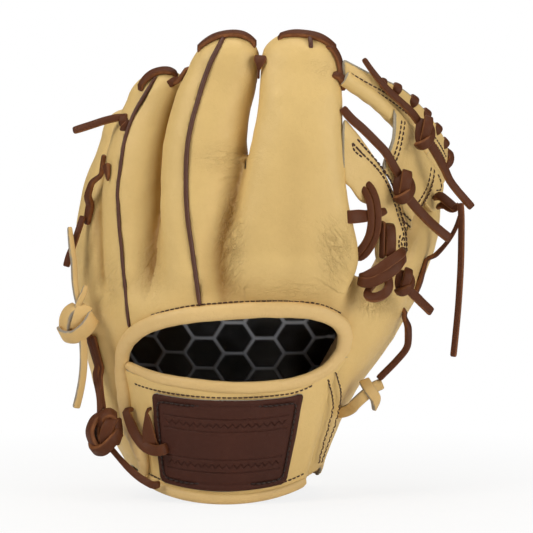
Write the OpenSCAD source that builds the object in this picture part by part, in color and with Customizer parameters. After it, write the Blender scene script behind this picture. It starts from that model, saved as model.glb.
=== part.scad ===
/* [Glove] */
// Height from the heel to the top of the index finger; the whole glove keeps its proportions
glove_h = 285; // [256:1:313]
// Thickness of the shell leather
leather_t = 3; // [2.4:0.1:3.4]
// Thickness of the finger linings
lining_t = 1; // [0.8:0.1:1.2]
// Thickness of the felt heel pads
pad_t = 12; // [8:1:14]

/* [Lacing] */
// Width of the rawhide lace
lace_w = 6; // [5:0.5:6.5]
// Thickness of the rawhide lace
lace_t = 3; // [2:0.5:3.5]
// Turns of lace that whip the web's top roll
whip_turns = 8; // [6:1:9]
// Radius of the welt piping
welt_r = 1.8; // [1.4:0.1:2.2]

/* [Wrist] */
// Width of the rolled binding
binding_w = 8.5; // [7:0.5:9]
// Width of the bare label patch
label_w = 93; // [80:1:95]
// Height of the bare label patch
label_h = 56; // [45:1:58]

/* [Quality] */
// Points round half a finger stall
arc_steps = 8; // [6:1:10]
// Sides of a lace or piping
cord_sides = 8; // [6:1:10]

/* [Hidden] */
// The tables below are for a glove 285 mm tall, laced with rawhide of 6 by 3 mm
unit = glove_h / 285;
lace_scale = [1, 1, 1, lace_w / 6, lace_t / 3];
blonde = [0.84, 0.70, 0.45];
brown = [0.36, 0.22, 0.18];
tan_lace = [0.80, 0.64, 0.38];
black = [0.06, 0.06, 0.07];
felt = [0.62, 0.60, 0.56];
patch_brown = [0.31, 0.19, 0.16];

// The finger stalls. Each row is one station of a stall: height, centre x, centre y, half width,
// depth of the back, depth of the palm side, and the way the back faces, in degrees from the
// back of the hand (negative is towards the little finger). The last row is where the tip's
// dome starts.
INDEX = [[120, 24, -33, 39, 15, 17, 4], [150, 26, -33, 37, 15, 17, 4], [182, 29, -33, 32, 16, 17, 3],
    [212, 30, -33, 28, 16, 16, 1], [245, 31, -31, 26, 15, 15, 0], [266, 31, -28, 24.5, 14, 13, 0]];
MIDDLE = [[120, -35, -29, 18.5, 15, 16, -11], [150, -33, -29, 20, 15, 16, -11],
    [182, -30, -29, 22, 16, 16, -10], [212, -26, -28, 23, 16, 15, -8],
    [243, -20, -26, 23, 15, 14, -6], [266, -15, -23, 22, 14, 12, -5]];
RING = [[120, -70, -14, 18, 15, 15, -45], [150, -71, -12, 18.5, 15, 15, -45],
    [182, -70, -11, 19.5, 15, 15, -46], [212, -66, -8, 19.5, 15, 14, -48],
    [232, -62, -5, 19, 14, 12, -48], [248, -57, -2, 18, 13, 11, -48]];
PINKY = [[4, -60, 30, 21, 12, 12, -66], [48, -76, 27, 21, 14, 14, -74], [84, -83, 25, 21, 15, 15, -77],
    [120, -88, 25, 20.5, 15, 15, -78], [157, -89, 26, 20.5, 15, 15, -80],
    [195, -86, 29, 20, 14, 13, -80], [226, -79, 32, 17, 13, 11, -80]];
THUMB = [[20, 26, 34, 23, 15, 13, 80], [57, 43, 28, 27, 17, 14, 72], [93, 66, 19, 29, 17, 15, 66],
    [120, 82, 16, 31, 16, 16, 66], [157, 100, 28, 27, 15, 15, 74], [188, 106, 43, 23, 14, 13, 80]];
STALL_FOOT = 122;
// Where the thumb's palm leather starts: height, and turn round the stall
THUMB_CREASE = [[20, 306], [57, 290], [88, 244], [108, 186], [150, 181], [210, 180]];
TIP_RISE = [19, 18, 16, 15, 15];

// The wrist and heel. Each row is height, centre x, half breadth and half depth of an oval whose
// centre lies at WRIST_Y.
WRIST = [[0, -14, 55, 48], [40, -12, 64, 54], [80, -9, 74, 62], [120, -2, 98, 70]];
WRIST_Y = 25;
// The strap goes round the back from turn to turn. Its edges are lowest at STRAP_LOW, and rise by
// STRAP_RISE at STRAP_SPAN from there.
STRAP_TURN = [-60, 55];
STRAP_FOOT = 3;
STRAP_H = 73;
STRAP_LOW = -2;
STRAP_RISE = 11;
STRAP_SPAN = 60;
// Half breadth of the wrist where the label patch lies
LABEL_ROUND = 66;
LABEL_T = 2.2;

// The palm. Each row is one height, and holds the points [x, y] of the palm's outer face from the
// little finger to the crease under the thumb.
PALM = [
    [[-62, 50], [-44, 60], [-22, 64], [-4, 64], [14, 62]],
    [[-80, 49], [-58, 61], [-28, 59], [0, 53], [25, 50]],
    [[-88, 47], [-66, 42], [-30, 22], [4, 16], [40, 27]],
    [[-92, 45], [-69, 18], [-41, -8], [8, -15], [57, -5]]];
PALM_HEIGHTS = [4, 44, 84, 122];

// The web, each row a point of an edge
BAR_TOP = [[57, -38, 266], [75, -31, 257], [92, -16, 250], [107, 6, 238], [119, 30, 224], [125, 52, 211]];
BAR_FOOT = [[57, -36, 254], [74, -29, 242], [89, -15, 228], [103, 5, 216], [114, 25, 204], [121, 46, 195]];
POST_LEFT = [[91, -12, 236], [89, -12, 222], [87, -14, 204], [86, -18, 184]];
POST_RIGHT = [[97, -4, 232], [102, 2, 222], [108, 8, 206], [100, -4, 178]];
BASE_TOP = [[60, -37, 229], [67, -33, 214], [77, -27, 200], [86, -18, 186], [92, -10, 168], [93, -6, 150]];
TAB_LEFT = [[112, 17, 205], [109, 12, 192], [108, 11, 180]];
TAB_RIGHT = [[117, 24, 203], [120, 27, 192], [117, 24, 180]];
BASE_FOOT = [[60, -36, 208], [67, -33, 196], [73, -28, 183], [78, -22, 170], [82, -16, 157], [84, -11, 145]];

// Routes of the laces, each row a point and the lace's width and thickness there. A knot is
// where the row is fat.
TIP_LACE = [[-73, 14, 245, 6, 3], [-69, 10, 259, 6, 3], [-57, -2, 267, 6, 3], [-46, -14, 261, 6, 3],
    [-40, -21, 264, 6, 3], [-32, -24, 282, 6, 3], [-15, -24, 288, 6, 3], [2, -26, 283, 6, 3],
    [8, -29, 272, 6, 3], [13, -31, 282, 6, 3], [31, -29, 289, 6, 3], [49, -33, 283, 6, 3],
    [58, -37, 272, 6, 3], [61, -38, 260, 6, 3]];
TIP_LACE_TAIL = [[-72, -5, 236.5, 9, 7], [-80, -8, 234.5, 9, 8], [-88, -9.5, 232.5, 6, 3],
    [-97, -10, 229.5, 6, 3], [-109, -9, 225.5, 6, 3]];
UPPER_LACE = [[68, -36, 268, 6, 3], [78, -31, 258, 6, 3], [90, -26, 244, 6, 3], [102, -20, 231, 6, 3],
    [108, -15, 220, 11, 9], [112, -12, 210, 9, 7], [119, -8, 198, 6, 3], [124, -6, 189, 6, 3],
    [130, -5, 183, 6, 3], [135, -5, 177, 6, 3]];
LOWER_LACE = [[57, -40, 236, 8, 3], [68, -38, 226, 8, 3], [86, -30, 208, 8, 3], [91, -25, 198, 8, 4],
    [95, -20, 190, 11, 9], [96, -18, 178, 10, 7], [104, -14, 170, 6, 3], [112, -12, 165, 6, 3],
    [121, -11, 159, 6, 3]];
CROTCH_LACE = [[64, -30, 206, 7, 4], [72, -34, 195, 8, 4], [77, -34, 182, 8, 4], [78, -32, 170, 8, 4],
    [76, -28, 158, 8, 4], [69, -28, 150, 7, 4], [62, -28, 146, 6, 4]];
CROTCH_LOOP = [[56, -42, 172, 6, 3], [60, -46, 176.5, 6, 3], [67, -46, 177.5, 6, 3], [73, -42, 174.5, 6, 3],
    [77, -38, 172, 6, 3]];
THUMB_LACE = [[62, -36, 131, 7, 4], [72, -36, 139, 8, 4], [84, -28, 146, 8, 4], [92, -18, 152, 8, 4],
    [97, -11, 144, 7, 4], [97, -13, 134, 12, 9], [99, -12, 127, 8, 6]];
THUMB_LACE_TAIL = [[99, -13, 127, 6, 3], [104, -11, 121, 6, 3], [111, -10, 115, 6, 3]];
WEB_LACE_TAIL = [[127, -6, 185, 6, 3], [129, -8, 176, 6, 3], [129, -9, 160, 6, 3], [128, -9, 136, 6, 3],
    [127, -9, 110, 6, 3], [125, -9, 86, 6, 3]];
HEEL_LACE = [[-62, 57, 22, 6, 3], [-46, 64, 15, 6, 3], [-30, 67, 21, 6, 3], [-14, 67.5, 14, 6, 3],
    [0, 66.5, 20, 6, 3], [8, 66, 15, 6, 3]];
HEEL_SIDE_LACE = [[-100, 16, 98, 6, 3], [-97, 14, 84, 6, 3], [-93, 12, 66, 6, 3], [-89, 10, 52, 7, 4],
    [-86, 8, 40, 16, 12], [-83, 5, 31, 10, 6], [-78, 2, 24, 6, 3], [-70, -4, 16, 6, 3],
    [-62, -10, 11, 6, 3]];
PINKY_LACE = [[-84, -2, 214, 6, 3], [-90, -4, 206, 6, 3], [-97, -2, 198, 6, 3], [-102, 2, 188, 7, 5],
    [-105, 4, 178, 8, 6], [-105, 4, 171, 7, 5]];
PINKY_TAIL = [[-105, 3, 172, 6, 3], [-108, 0, 158, 6, 3], [-111, -2, 148, 6, 3], [-113, -3, 142, 6, 3]];
LEFT_LACE = [[-96, -2, 116, 8, 4], [-104, -6, 112, 18, 12], [-108, -6, 106, 20, 13], [-103, -5, 100, 14, 8]];
LEFT_TAIL = [[-104, -8, 99, 7, 3], [-106, -9, 88, 7, 3], [-107, -8, 76, 7, 3], [-108, -7, 62, 7, 3],
    [-107, -6, 54, 7, 3]];
RIGHT_LACE = [[87, 7, 94, 7, 4], [80, 9, 82, 7, 4], [72, 13, 71, 14, 10], [68, 15, 62, 16, 11],
    [63, 15, 55, 9, 6]];

// Smooth curve through the rows of a table; t runs from 0 to the last row's number
function row_at(rows, t) = let (
    i = min(floor(t), len(rows) - 2),
    f = t - i,
    a = rows[max(i - 1, 0)],
    b = rows[i],
    c = rows[i + 1],
    d = rows[min(i + 2, len(rows) - 1)])
    b + f * (c - a) / 2 + f * f * (2 * a - 5 * b + 4 * c - d) / 2 + f * f * f * (3 * b - a - 3 * c + d) / 2;

// Where a height falls in a table whose rows start with their height
function place_of(rows, z, i = 0) = i >= len(rows) - 2 || z < rows[i + 1][0]
    ? i + (z - rows[i][0]) / (rows[i + 1][0] - rows[i][0])
    : place_of(rows, z, i + 1);

function unit_of(v) = v / max(norm(v), 0.0001);

// A point of a stall's wall. Turn 0 is the edge nearer the thumb (on the thumb, its free edge), 90 the
// middle of the back, 180 the other edge, and 270 the middle of the palm side.
function stall_point(row, turn, inset, z) = let (
    side = [cos(row[6]), sin(row[6])],
    face = [sin(row[6]), -cos(row[6])],
    deep = (turn > 180 ? row[5] : row[4]) - inset,
    across = (row[3] - inset) * sign(cos(turn)) * pow(abs(cos(turn)), 0.8),
    out = deep * sign(sin(turn)) * pow(abs(sin(turn)), 0.8))
    [row[1] + across * side[0] + out * face[0], row[2] + across * side[1] + out * face[1], z];

// Rings of a stall from a height to its tip, each inset by the same amount
function stall_rings(rows, rise, foot, from, to, steps, inset, levels = 6, crease = []) = let (
    start = place_of(rows, foot),
    end = len(rows) - 1,
    shoulder = rows[end])
    concat(
        [for (j = [0 : levels]) let (
            row = row_at(rows, start + (end - start) * j / levels),
            edge = len(crease) == 0 ? from : row_at(crease, place_of(crease, row[0]))[1])
            [for (i = [0 : steps]) stall_point(row, edge + (to - edge) * i / steps, inset, row[0])]],
        [for (a = [28, 52, 72, 86])
            [for (i = [0 : steps]) stall_point(
                [0, shoulder[1], shoulder[2], inset + (shoulder[3] - inset) * cos(a),
                    inset + (shoulder[4] - inset) * cos(a), inset + (shoulder[5] - inset) * cos(a),
                    shoulder[6]],
                from + (to - from) * i / steps, inset, shoulder[0] + (rise - inset) * sin(a))]]);

function flat(rows) = [for (row = rows) each row];

// A closed sheet between two faces, each a grid of points with the same rows and columns
module sheet(outer, inner, closed = false) {
    rows = len(outer);
    cols = len(outer[0]);
    n = rows * cols;
    last = closed ? cols - 1 : cols - 2;
    walls = [for (j = [0 : rows - 2]) for (i = [0 : last]) let (
        a = j * cols + i,
        b = j * cols + (i + 1) % cols,
        c = a + cols,
        d = b + cols)
        each [[a, b, c], [b, d, c], [n + a, n + c, n + b], [n + b, n + c, n + d]]];
    ends = [for (i = [0 : last]) let (
        a = i,
        b = (i + 1) % cols,
        c = n - cols + i,
        d = n - cols + (i + 1) % cols)
        each [[a, n + a, b], [b, n + a, n + b], [c, d, n + c], [d, n + d, n + c]]];
    sides = closed ? [] : [for (j = [0 : rows - 2]) let (
        a = j * cols,
        b = a + cols,
        c = a + cols - 1,
        d = c + cols)
        each [[a, b, n + a], [b, n + b, n + a], [c, n + c, d], [d, n + c, n + d]]];
    polyhedron(points = concat(flat(outer), flat(inner)) * unit, faces = concat(walls, ends, sides),
        convexity = 8);
}

// A lace, tail or piping swept along its route. The flat side faces away from the point `core`.
module lace(route, core = [5, 35], finer = 2, sides = cord_sides) {
    count = (len(route) - 1) * finer;
    rows = [for (k = [0 : count]) row_at(route, k / finer)];
    rings = [for (k = [0 : count]) let (
        here = rows[k],
        ahead = rows[min(k + 1, count)],
        behind = rows[max(k - 1, 0)],
        along = unit_of([ahead[0] - behind[0], ahead[1] - behind[1], ahead[2] - behind[2]]),
        out = unit_of([here[0] - core[0], here[1] - core[1], 0.001]),
        side = unit_of(cross(along, out)),
        up = cross(side, along))
        [for (i = [0 : sides - 1]) let (a = 360 * (i + 0.5) / sides)
            [here[0], here[1], here[2]] + side * here[3] / 2 * cos(a) + up * here[4] / 2 * sin(a)]];
    tube(rings);
}

// A solid through a chain of rings, closed flat at both ends
module tube(rings) {
    m = len(rings);
    s = len(rings[0]);
    walls = [for (j = [0 : m - 2]) for (i = [0 : s - 1]) let (
        a = j * s + i,
        b = j * s + (i + 1) % s)
        each [[a, b, a + s], [b, b + s, a + s]]];
    caps = [for (i = [1 : s - 2]) each [[0, i + 1, i], [(m - 1) * s, (m - 1) * s + i, (m - 1) * s + i + 1]]];
    polyhedron(points = flat(rings) * unit, faces = concat(walls, caps), convexity = 8);
}

// Half of a finger stall, as a curved wall of leather that runs over its tip
module stall_half(rows, rise, foot, from, to, steps = arc_steps, levels = 6, crease = []) {
    color(blonde)
        sheet(stall_rings(rows, rise, foot, from, to, steps, 0, levels, crease),
            stall_rings(rows, rise, foot, from, to, steps, leather_t, levels, crease));
}

// A lining is a whole sleeve that ends in a closed tip
module stall_lining(rows, rise, foot, gap = 0.5) {
    inset = leather_t + gap;
    color(felt)
        sheet(stall_rings(rows, rise, foot, 0, 330, 11, inset, 4),
            stall_rings(rows, rise, foot, 0, 330, 11, inset + lining_t, 4), closed = true);
}

module index_back() { stall_half(INDEX, TIP_RISE[0], STALL_FOOT, 0, 180); }
module middle_back() { stall_half(MIDDLE, TIP_RISE[1], STALL_FOOT, 0, 180); }
module ring_back() { stall_half(RING, TIP_RISE[2], STALL_FOOT, 0, 180); }
module pinky_back() { stall_half(PINKY, TIP_RISE[3], 4, 0, 180, arc_steps, 8); }
module thumb_back() { stall_half(THUMB, TIP_RISE[4], 20, 0, 180, arc_steps, 9); }
module index_palm_side() { stall_half(INDEX, TIP_RISE[0], STALL_FOOT, 180, 360, 6); }
module middle_palm_side() { stall_half(MIDDLE, TIP_RISE[1], STALL_FOOT, 180, 360, 6); }
module ring_palm_side() { stall_half(RING, TIP_RISE[2], STALL_FOOT, 180, 360, 6); }
module pinky_palm_side() { stall_half(PINKY, TIP_RISE[3], 120, 180, 360, 6, 4); }
module thumb_palm_side() { stall_half(THUMB, TIP_RISE[4], 20, 180, 360, 6, 9, THUMB_CREASE); }
module index_lining() { stall_lining(INDEX, TIP_RISE[0], STALL_FOOT + 6); }
module middle_lining() { stall_lining(MIDDLE, TIP_RISE[1], STALL_FOOT + 6); }
module ring_lining() { stall_lining(RING, TIP_RISE[2], STALL_FOOT + 6); }
module pinky_lining() { stall_lining(PINKY, TIP_RISE[3], STALL_FOOT + 6, 2.4); }
module thumb_lining() { stall_lining(THUMB, TIP_RISE[4], 104, 2.4); }

// The palm's face at a place across (0 little finger, 1 crease) and up (0 heel, 1 stalls)
function palm_point(across, up, inset) = let (
    t = up * (len(PALM) - 1),
    row = [for (k = [0 : 4]) row_at([for (r = PALM) r[k]], t)],
    p = row_at(row, across * 4),
    q = row_at(row, min(across * 4 + 0.05, 4)),
    r = row_at(row, max(across * 4 - 0.05, 0)),
    along = unit_of([q[0] - r[0], q[1] - r[1]]),
    z = row_at([for (h = PALM_HEIGHTS) [h]], t)[0])
    [p[0] + along[1] * inset, p[1] - along[0] * inset, z];

function palm_grid(inset, from = 0, to = 1, low = 0, high = 1, cols = 10, rows = 8) =
    [for (j = [0 : rows]) [for (i = [0 : cols])
        palm_point(from + (to - from) * i / cols, low + (high - low) * j / rows, inset)]];

module palm_shell() { color(blonde) sheet(palm_grid(0), palm_grid(leather_t)); }
module palm_lining() {
    color(black)
        sheet(palm_grid(leather_t + 0.4, 0.08, 0.94, 0.02, 0.97),
            palm_grid(leather_t + 2.4, 0.08, 0.94, 0.02, 0.97));
}

// The oval of the wrist at a turn (0 is the middle of the back) and a height
function wrist_point(turn, z, proud) = let (
    row = row_at(WRIST, place_of(WRIST, z)),
    n = unit_of([sin(turn) / row[2], -cos(turn) / row[3]]))
    [row[1] + row[2] * sin(turn) + proud * n[0], WRIST_Y - row[3] * cos(turn) + proud * n[1], z];

// The strap is lowest in the middle of its top edge, and of its foot
function strap_foot(turn) = STRAP_FOOT + STRAP_RISE * pow((turn - STRAP_LOW) / STRAP_SPAN, 2);
function strap_grid(proud, from, to, low, high, cols, rows) =
    [for (j = [0 : rows]) [for (i = [0 : cols]) let (
        turn = from + (to - from) * i / cols,
        z = strap_foot(turn) + STRAP_H * (low + (high - low) * j / rows))
        wrist_point(turn, z, proud)]];

module wrist_strap() {
    color(blonde)
        sheet(strap_grid(-leather_t, STRAP_TURN[0], STRAP_TURN[1], 0, 1, 12, 4),
            strap_grid(0, STRAP_TURN[0], STRAP_TURN[1], 0, 1, 12, 4));
}
module wrist_liner() {
    color(black)
        sheet(strap_grid(-leather_t - 3.4, STRAP_TURN[0] + 8, STRAP_TURN[1] - 10, 0.05, 0.96, 10, 3),
            strap_grid(-leather_t - 0.4, STRAP_TURN[0] + 8, STRAP_TURN[1] - 10, 0.05, 0.96, 10, 3));
}
module label_patch() {
    half = asin(label_w / 2 / LABEL_ROUND);
    share = label_h / STRAP_H / 2;
    function face(proud) =
        strap_grid(proud, STRAP_LOW - half, STRAP_LOW + half, 0.5 - share, 0.5 + share, 10, 3);
    color(patch_brown) sheet(face(0), face(LABEL_T));
}

// The rolled binding goes up the little-finger side of the strap and round the hand opening
OPENING = [[-64, 10], [-66, 34], [-68, 60], [-68, 84], [-60, 100], [-46, 111], [-30, 117], [-12, 119],
    [6, 120], [22, 118], [34, 114], [42, 106], [48, 97], [54, 88]];
module opening_binding() {
    color(blonde)
        lace([for (p = OPENING) concat(wrist_point(p[0], p[1], 0.5), [binding_w, 5])], [-8, 25]);
}
module strap_binding() {
    color(blonde)
        lace([for (i = [0 : 8]) let (turn = STRAP_TURN[0] + 2 + (STRAP_TURN[1] - STRAP_TURN[0] - 6) * i / 8)
            concat(wrist_point(turn, strap_foot(turn) + 1, -leather_t / 2), [7, 6])], [-8, 25]);
}

// Piping on the back of a stall, along a row of turns
module welt(rows, rise, turns) {
    end = len(rows) - 1;
    color(brown)
        lace([for (k = [0 : len(turns) - 1]) let (
            t = place_of(rows, STALL_FOOT) + (end - place_of(rows, STALL_FOOT)) * k / (len(turns) - 1),
            row = row_at(rows, t))
            concat(stall_point(row, turns[k], -0.4, row[0]), [2 * welt_r, 2 * welt_r])], [5, 35], 2, 6);
}
module middle_welt() { welt(MIDDLE, TIP_RISE[1], [72, 84, 98, 108, 110, 104, 98]); }
module ring_welt() { welt(RING, TIP_RISE[2], [128, 130, 132, 132, 126, 116, 104]); }

// The heel pads are felt cushions between the palm leather and its lining
function pad_grid(from, to, low, high, depth, bulge) =
    [for (j = [0 : 5]) [for (i = [0 : 5]) palm_point(from + (to - from) * i / 5, low + (high - low) * j / 5,
        depth + bulge * sin(180 * i / 5) * sin(180 * j / 5))]];
module pinky_heel_pad() {
    color(felt) sheet(pad_grid(0.14, 0.56, 0.05, 0.5, leather_t + 3, 0),
        pad_grid(0.14, 0.56, 0.05, 0.5, leather_t + 7, pad_t - 7));
}
function stall_strip(rows, low, high, from, to, inset, levels = 5, steps = 4) =
    [for (j = [0 : levels]) let (
        t = place_of(rows, low) + (place_of(rows, high) - place_of(rows, low)) * j / levels,
        row = row_at(rows, t))
        [for (i = [0 : steps]) stall_point(row, from + (to - from) * i / steps, inset, row[0])]];
module stall_board(rows, low, high, from, to, depth, thick, levels = 5) {
    sheet(stall_strip(rows, low, high, from, to, depth, levels),
        stall_strip(rows, low, high, from, to, depth + thick, levels));
}
module thumb_heel_pad() { color(felt) stall_board(THUMB, 24, 82, 200, 330, leather_t + 0.4, 5); }
module pinky_stiffener() { color(felt) stall_board(PINKY, 60, 214, 66, 120, leather_t + 0.8, 1, 8); }
module thumb_stiffener() { color(felt) stall_board(THUMB, 58, 178, 66, 120, leather_t + 0.8, 1, 8); }
module pinky_loop() { color(blonde) stall_board(PINKY, 92, 112, 205, 325, 9, 2); }
module thumb_loop() { color(blonde) stall_board(THUMB, 70, 92, 205, 335, 9, 2); }

// The I web: a bar with a rolled edge, a post, and a base that closes the crotch
function edge_grid(top, foot, cols, rows, proud) =
    [for (j = [0 : rows]) [for (i = [0 : cols]) let (
        t = i / cols * (len(top) - 1),
        p = row_at(foot, t) + (row_at(top, t) - row_at(foot, t)) * j / rows,
        n = unit_of([p[0] - 30, p[1] - 40, 0]))
        p + n * proud]];
module web_leather(top, foot, thick, cols = 10, rows = 2) {
    color(blonde) sheet(edge_grid(top, foot, cols, rows, 0), edge_grid(top, foot, cols, rows, thick));
}
module web_top_bar() { web_leather(BAR_TOP, BAR_FOOT, 4); }
module web_roll() {
    color(blonde)
        lace([for (t = [0 : 0.84 : 4.2]) concat(row_at(BAR_FOOT, t) + [1, -1, -1.5], [9, 8])], [30, 40]);
}
module web_post() {
    color(blonde)
        sheet(edge_grid(POST_RIGHT, POST_LEFT, 5, 4, -3.9), edge_grid(POST_RIGHT, POST_LEFT, 5, 4, -0.4));
}
module web_base() { web_leather(BASE_TOP, BASE_FOOT, 3.5, 8, 3); }
module web_side_tab() { web_leather(TAB_RIGHT, TAB_LEFT, 3, 4, 2); }

// The whip lace winds round the top bar's outer edge
module web_whip_lace() {
    steps = whip_turns * 8;
    rows = [for (k = [0 : steps]) let (
        t = 2.1 + 2.7 * k / steps,
        p = row_at(BAR_TOP, t),
        q = row_at(BAR_TOP, t + 0.1),
        along = unit_of(q - p),
        out = unit_of([p[0] - 30, p[1] - 40, 0]),
        up = cross(out, along),
        a = 360 * k / 8)
        p + out * (2 + 5.5 * cos(a)) + up * (-1.5 + 6.5 * sin(a))];
    rings = [for (k = [0 : steps]) let (
        along = unit_of(rows[min(k + 1, steps)] - rows[max(k - 1, 0)]),
        side = unit_of(cross(along, [0.3, 0.2, 1])),
        up = cross(side, along))
        [for (i = [0 : 5]) rows[k] + (side * cos(60 * i) + up * sin(60 * i)) * 1.5]];
    color(brown) tube(rings);
}

// Rawhide along a route, at the chosen width and thickness
module thong(route, tint = brown) {
    color(tint) lace([for (p = route) [for (k = [0 : 4]) p[k] * lace_scale[k]]]);
}

module tip_lace() { thong(TIP_LACE); }
module tip_lace_tail() { thong(TIP_LACE_TAIL); }
module upper_web_lace() { thong(UPPER_LACE); }
module lower_web_lace() { thong(LOWER_LACE); }
module crotch_lace() { thong(CROTCH_LACE); }
module crotch_loop() { thong(CROTCH_LOOP); }
module thumb_lace() { thong(THUMB_LACE); }
module thumb_lace_tail() { thong(THUMB_LACE_TAIL); }
module web_lace_tail() { thong(WEB_LACE_TAIL); }
module heel_lace() { thong(HEEL_LACE); }
module heel_side_lace() { thong(HEEL_SIDE_LACE); }
module pinky_side_lace() { thong(PINKY_LACE); }
module pinky_side_tail() { thong(PINKY_TAIL); }
module left_adjusting_lace() { thong(LEFT_LACE, tan_lace); }
module left_adjusting_tail() { thong(LEFT_TAIL, tan_lace); }
module right_adjusting_lace() { thong(RIGHT_LACE, tan_lace); }

index_back();
middle_back();
ring_back();
pinky_back();
thumb_back();
index_palm_side();
middle_palm_side();
ring_palm_side();
pinky_palm_side();
thumb_palm_side();
palm_shell();
palm_lining();
index_lining();
middle_lining();
ring_lining();
pinky_lining();
thumb_lining();
pinky_heel_pad();
thumb_heel_pad();
pinky_stiffener();
thumb_stiffener();
pinky_loop();
thumb_loop();
middle_welt();
ring_welt();
opening_binding();
strap_binding();
wrist_strap();
wrist_liner();
label_patch();
web_top_bar();
web_roll();
web_post();
web_base();
web_side_tab();
web_whip_lace();
tip_lace();
tip_lace_tail();
upper_web_lace();
lower_web_lace();
crotch_lace();
crotch_loop();
thumb_lace();
thumb_lace_tail();
web_lace_tail();
heel_lace();
heel_side_lace();
pinky_side_lace();
pinky_side_tail();
left_adjusting_lace();
left_adjusting_tail();
right_adjusting_lace();
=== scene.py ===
"""A fielder's baseball glove in blonde leather, dressed over its fixed frame.

The glove's outer form is one field: how far each point of space is from the leather. Every leather panel is
cut out of it, and everything sewn or laced to the glove is laid on it. Lengths are in millimetres until a
piece is made, when they become metres.
"""

import logging
import math
from dataclasses import dataclass, field
from enum import Enum
from typing import Dict, List, Optional, Sequence, Tuple, Union

import bpy
import numpy as np
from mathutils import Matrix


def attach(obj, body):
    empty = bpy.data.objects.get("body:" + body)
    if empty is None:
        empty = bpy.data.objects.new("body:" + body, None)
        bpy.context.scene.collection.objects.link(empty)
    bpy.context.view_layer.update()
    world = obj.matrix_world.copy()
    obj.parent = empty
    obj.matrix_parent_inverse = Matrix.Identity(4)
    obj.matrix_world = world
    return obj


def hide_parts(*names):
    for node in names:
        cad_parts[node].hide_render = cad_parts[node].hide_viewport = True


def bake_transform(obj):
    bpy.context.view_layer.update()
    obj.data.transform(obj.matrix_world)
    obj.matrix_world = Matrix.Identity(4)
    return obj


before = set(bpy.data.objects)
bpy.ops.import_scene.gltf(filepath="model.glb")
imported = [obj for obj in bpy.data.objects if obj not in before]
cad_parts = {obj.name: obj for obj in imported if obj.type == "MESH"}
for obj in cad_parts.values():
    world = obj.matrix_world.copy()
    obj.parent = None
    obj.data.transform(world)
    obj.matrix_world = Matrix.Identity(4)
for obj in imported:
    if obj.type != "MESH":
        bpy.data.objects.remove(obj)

import openvdb
from mathutils import Vector

LOG = logging.getLogger("glove")
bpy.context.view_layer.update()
MM = 0.001
Array = np.ndarray
Colour = Tuple[float, float, float]
Triple = Tuple[float, float, float]
Rows = Sequence[Sequence[float]]
Route = Sequence[Tuple[float, float]]
Tree = bpy.types.NodeTree
Node = bpy.types.Node
Socket = bpy.types.NodeSocket
Sockets = bpy.types.bpy_prop_collection
Thing = bpy.types.Object


class Body(Enum):
    """The two moving halves of the glove, and the leather between them, which moves with neither."""

    FINGERS = "fingers"
    THUMB = "thumb"
    FOLD = "fold"


class Slot(Enum):
    """The finishes the glove can be repainted by."""

    BLONDE = "blonde_leather"
    BINDING = "rolled_binding"
    LACE = "brown_lace"
    TAN_LACE = "tan_lace"
    WELT = "brown_welt"
    PATCH = "patch_leather"
    LINER = "black_liner"
    LINING = "lining_leather"
    FELT = "felt"


# ---------------------------------------------------------------- curves and fields


def row_at(rows: Array, place: Array) -> Array:
    """Smooth curve through the rows of a table.

    Args:
        rows: The table, one row a station.
        place: Where along it, from 0 to the last row's number.

    Returns:
        The row at each place, with the table's columns as its last axis.
    """
    rows = np.asarray(rows, float)
    place = np.asarray(place, float)
    i = np.clip(np.floor(place).astype(int), 0, len(rows) - 2)
    f = (place - i)[..., None]
    a, b = rows[np.maximum(i - 1, 0)], rows[i]
    c, d = rows[i + 1], rows[np.minimum(i + 2, len(rows) - 1)]
    return b + f * (c - a) / 2 + f**2 * (2 * a - 5 * b + 4 * c - d) / 2 + f**3 * (3 * b - a - 3 * c + d) / 2


def place_of(heights: Array, z: Array) -> Array:
    """Where a height falls in a table, held inside its first and last rows."""
    return np.interp(z, heights, np.arange(len(heights)))


def finer(rows: Array, count: int) -> Array:
    """The same curve with `count` rows spread evenly over the table's places."""
    return row_at(rows, np.linspace(0, len(rows) - 1, count))


def run_along(line: Array) -> Array:
    """How far along a polyline each of its points lies."""
    return np.concatenate([[0.0], np.cumsum(np.linalg.norm(np.diff(line[:, :3], axis=0), axis=1))])


def relaxed(line: Array, times: int) -> Array:
    """A line drawn straighter, with its ends held.

    Args:
        line: Its points.
        times: How many times each point is drawn between its neighbours.

    Returns:
        The new points.
    """
    line = line.copy()
    for _ in range(times):
        line[1:-1] = (line[:-2] + 2 * line[1:-1] + line[2:]) / 4
    return line


def evenly(points: Array, gap: float) -> Array:
    """Points spread evenly along a polyline.

    Args:
        points: Its corners, whose columns past the third are carried along.
        gap: About how far apart the new points are.

    Returns:
        The new points, with the polyline's ends among them.
    """
    points = np.asarray(points, float)
    run = run_along(points)
    at = np.linspace(0, run[-1], max(2, int(round(run[-1] / gap)) + 1))
    return np.stack([np.interp(at, run, points[:, k]) for k in range(points.shape[1])], axis=1)


def unit(v: Array) -> Array:
    """The same directions with length 1."""
    return v / np.maximum(np.linalg.norm(v, axis=-1, keepdims=True), 1e-9)


def soft_min(a: Array, b: Array, k: Array) -> Array:
    """Smaller of two fields, with the crease between them filled over a width k."""
    h = np.clip(0.5 + 0.5 * (b - a) / k, 0, 1)
    return b + (a - b) * h - k * h * (1 - h)


def soft_max(a: Array, b: Array, k: float) -> Array:
    """Larger of two fields, with the edge between them rounded over a width k."""
    return -soft_min(-a, -b, k)


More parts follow.
